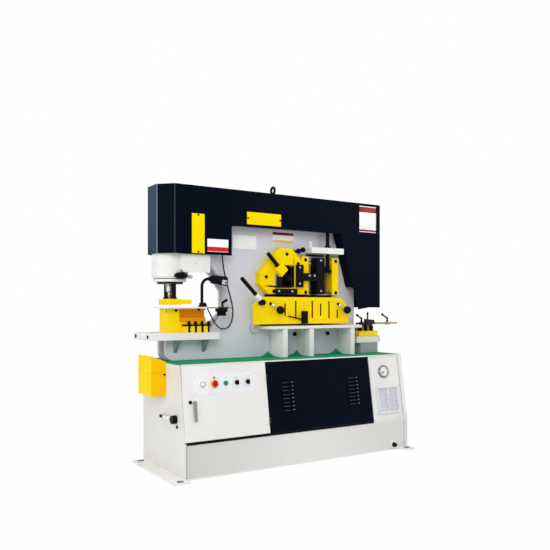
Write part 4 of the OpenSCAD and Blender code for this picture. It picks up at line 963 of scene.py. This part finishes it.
fit(block(52, 1.8, 2.2, 0.5), [on_slope(x + 28, up, 9.4) for x, up in LOUVRES], "louvre_lip_highlights", louvre_highlight_paint)
fit(block(11, 5, 1.6, 0.6), [on_slope(x + 80, up + 2.2, 10.6) for x, up in LOUVRES], "louvre_end_glints", painted_louvre_glint)
fit(block(9, 166, 3, 0.8), [on_slope(*GRILLE, 6.6)], "grille_bar", zinc_plate)
rim = turned([(147, 0), (147, 1.4), (146, 2), (136, 2), (135, 0)], 4, True)
fit(rim, [on_slope(*GRILLE, 8.8) @ GRILLE_SHAPE], "grille_rim", white_paint)
fit(block(1470, 17, 5, 1.4), [on_slope(-162, -2, -2.5)], "panel_seal", cable_rubber)
fit(block(317, 6, 14, 0.8), [on_slope(740, 3.4, -14)], "tank_panel_ledge", white_paint)

# %% [markdown]
# Narrow grey seams show where the sheets meet, and a dark ring lies around each anchor hole. The strip at the back
# edge of the punch guard is painted shadow in the gap between the guard and the punch cylinder. A gap could be
# cut between the sheets, but a seam is only a few millimetres wide, so a thin strip looks the same.

# %% Seams and anchor rings
SEAMS = [
    ("tank_seam", 3, 452, 1.2, on_slope(862, 233, 0.4)),
    ("skirt_seam", 3, 204, 1.2, on_front(866, BASE_Y + 0.4, 112)),
    ("corner_seam", 4, 204, 1.2, on_front(-896, BASE_Y + 0.4, 112)),
    # painted shadow in the gap between the punch guard and the punch cylinder
    ("guard_gap_shadow", 4, 112, 1.4, on_left(-776.4, 0, 1338) @ LEVEL),
]
ANCHORS = [(-952, -382.5), (-952, 257.5), (859, -387.5), (859, 387.5)]
FLOOR_PLATE_T = 12

for name, width, length, rise, place in SEAMS:
    fit(block(width, length, rise, 0.4), [place], name, tank_paint)
washer = turned([(20, 0), (20, 1.6), (19, 2.4), (12, 2.4), (11.4, 0)], 32, True)
fit(washer, [at(x, y, FLOOR_PLATE_T) for x, y in ANCHORS], "anchor_rings", black_steel)

# %% [markdown]
# The notcher cuts between three dark blades. A wedge could be one, but the real blade has a shoulder, so the top
# of a block is inset and pulled up. It is modelled once and copied, because the three are the same.

# %% Notcher blades
blade = block(22, 30, 40, 3)
pull(blade, UP, 5, 6)
fit(blade, [at(x, 14, 860) for x in (746, 800, 858)], "notcher_blades", black_steel)

# %% [markdown]
# Sheet and plate never end in a perfectly sharp edge. The large nodes get a narrow bevel, which catches a thin line
# of light. Their triangles are first merged to whole faces, so only the true edges are rounded.

# %% Softened edges
FLAT_ANGLE = math.radians(0.5)
EDGE_ANGLE = math.radians(35)
SOFT_EDGES = {
    4.0: ["left_cover", "middle_cover", "right_cover", "cabinet_front", "cabinet_wrap"],
    2.5: ["control_door", "motor_panel", "tank_panel", "front_cheek", "punch_table", "shear_table", "notch_table",
          "notch_die", "die_block", "shear_guard", "bar_shear_plate", "angle_posts", "hold_down_bar"],
    1.2: ["slug_box", "punch_guard", "gauge_bar", "stripper", "base_plate", "blade_clamp", "guard_stop"],
}
for width, names in SOFT_EDGES.items():
    for name in names:
        weld = nodes[name].modifiers.new("weld", "WELD")
        weld.merge_threshold = MERGE_GAP
        faces = nodes[name].modifiers.new("faces", "DECIMATE")
        faces.decimate_type = "DISSOLVE"
        faces.angle_limit = FLAT_ANGLE
        soft = nodes[name].modifiers.new("soft", "BEVEL")
        soft.width = width * MM
        soft.segments = 2
        soft.limit_method = "ANGLE"
        soft.angle_limit = EDGE_ANGLE
        soft.harden_normals = True
print("softened", sum(len(names) for names in SOFT_EDGES.values()), "nodes")

# %% [markdown]
# The studio is a white floor under a white sky, and what the camera sees behind the machine is plain white. A sky
# that bright would wash out the panels, so both are brighter for the camera's rays than in the light they give.

# %% Floor and sky
FLOOR_SIZE = 30
SKY_LIGHT = 0.42
FLOOR_GLOW = 0.985


def seen_rays(value):
    """1 for rays that come from the camera."""
    return value.node("ShaderNodeLightPath", out="Is Camera Ray")


sky = bpy.data.worlds.new("sky")
sky.use_nodes = True
bpy.context.scene.world = sky
sky_light = sky.node_tree.nodes["Background"]
sky_value = Value(sky.node_tree)
sky_light.inputs["Color"].default_value = colour(1, 1, 1)
sky_value.feed(sky_light.inputs["Strength"], SKY_LIGHT + (1 - SKY_LIGHT) * seen_rays(sky_value))

bpy.ops.object.select_all(action="DESELECT")
bpy.ops.mesh.primitive_plane_add(size=FLOOR_SIZE, location=(0, 0, 0))
floor = bpy.context.object
floor.name = "floor"
floor_finish = bpy.data.materials.new("floor_white")
floor_finish.use_nodes = True
floor_tree = floor_finish.node_tree
floor_value = Value(floor_tree)
floor_shader = floor_tree.nodes["Principled BSDF"]
floor_shader.inputs["Base Color"].default_value = colour(0.82, 0.82, 0.82)
floor_shader.inputs["Roughness"].default_value = 0.8
glow = floor_value.node("ShaderNodeEmission", inputs={"Color": colour(1, 1, 1), "Strength": 1.0})
mixed = floor_value.node("ShaderNodeMixShader", inputs={
    0: FLOOR_GLOW * seen_rays(floor_value), 1: Value(floor_tree, floor_shader.outputs[0]), 2: glow})
floor_tree.links.new(mixed.socket, floor_tree.nodes["Material Output"].inputs["Surface"])
dress(floor, floor_finish)
floor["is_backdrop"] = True
print("floor", FLOOR_SIZE, "m wide")

# %% [markdown]
# One large soft lamp stands at the front left, with weaker ones at the left, at the right, overhead and behind.
# A sun would give hard shadows, so all of them are wide areas that look at the middle of the machine.

# %% Lamps
LAMP_TARGET = Vector((0, 0, 0.9))
LAMPS = [
    ("key", (-3.0, -4.6, 4.0), 3.2, 132),
    ("left", (-5.0, -0.8, 1.8), 2.6, 62),
    ("fill", (4.2, -3.6, 2.6), 3.0, 52),
    ("top", (0.3, -0.6, 4.6), 2.6, 60),
    ("back", (-2.0, 4.5, 3.2), 3.0, 60),
]
for name, place, size, power in LAMPS:
    lamp_data = bpy.data.lights.new(name, "AREA")
    lamp_data.size = size
    lamp_data.energy = power
    lamp = bpy.data.objects.new(name, lamp_data)
    bpy.context.scene.collection.objects.link(lamp)
    lamp.location = place
    lamp.rotation_euler = (LAMP_TARGET - Vector(place)).to_track_quat("-Z", "Y").to_euler()
print("studio lit by", len(LAMPS), "lamps")

# %% [markdown]
# At the end, the box of the dressed machine is printed. It should agree with the box of the solids, because the
# fittings lie within the part's own size.

# %% Size and finish
low, high = [list(corner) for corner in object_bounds()]
print("visual box", low, high)
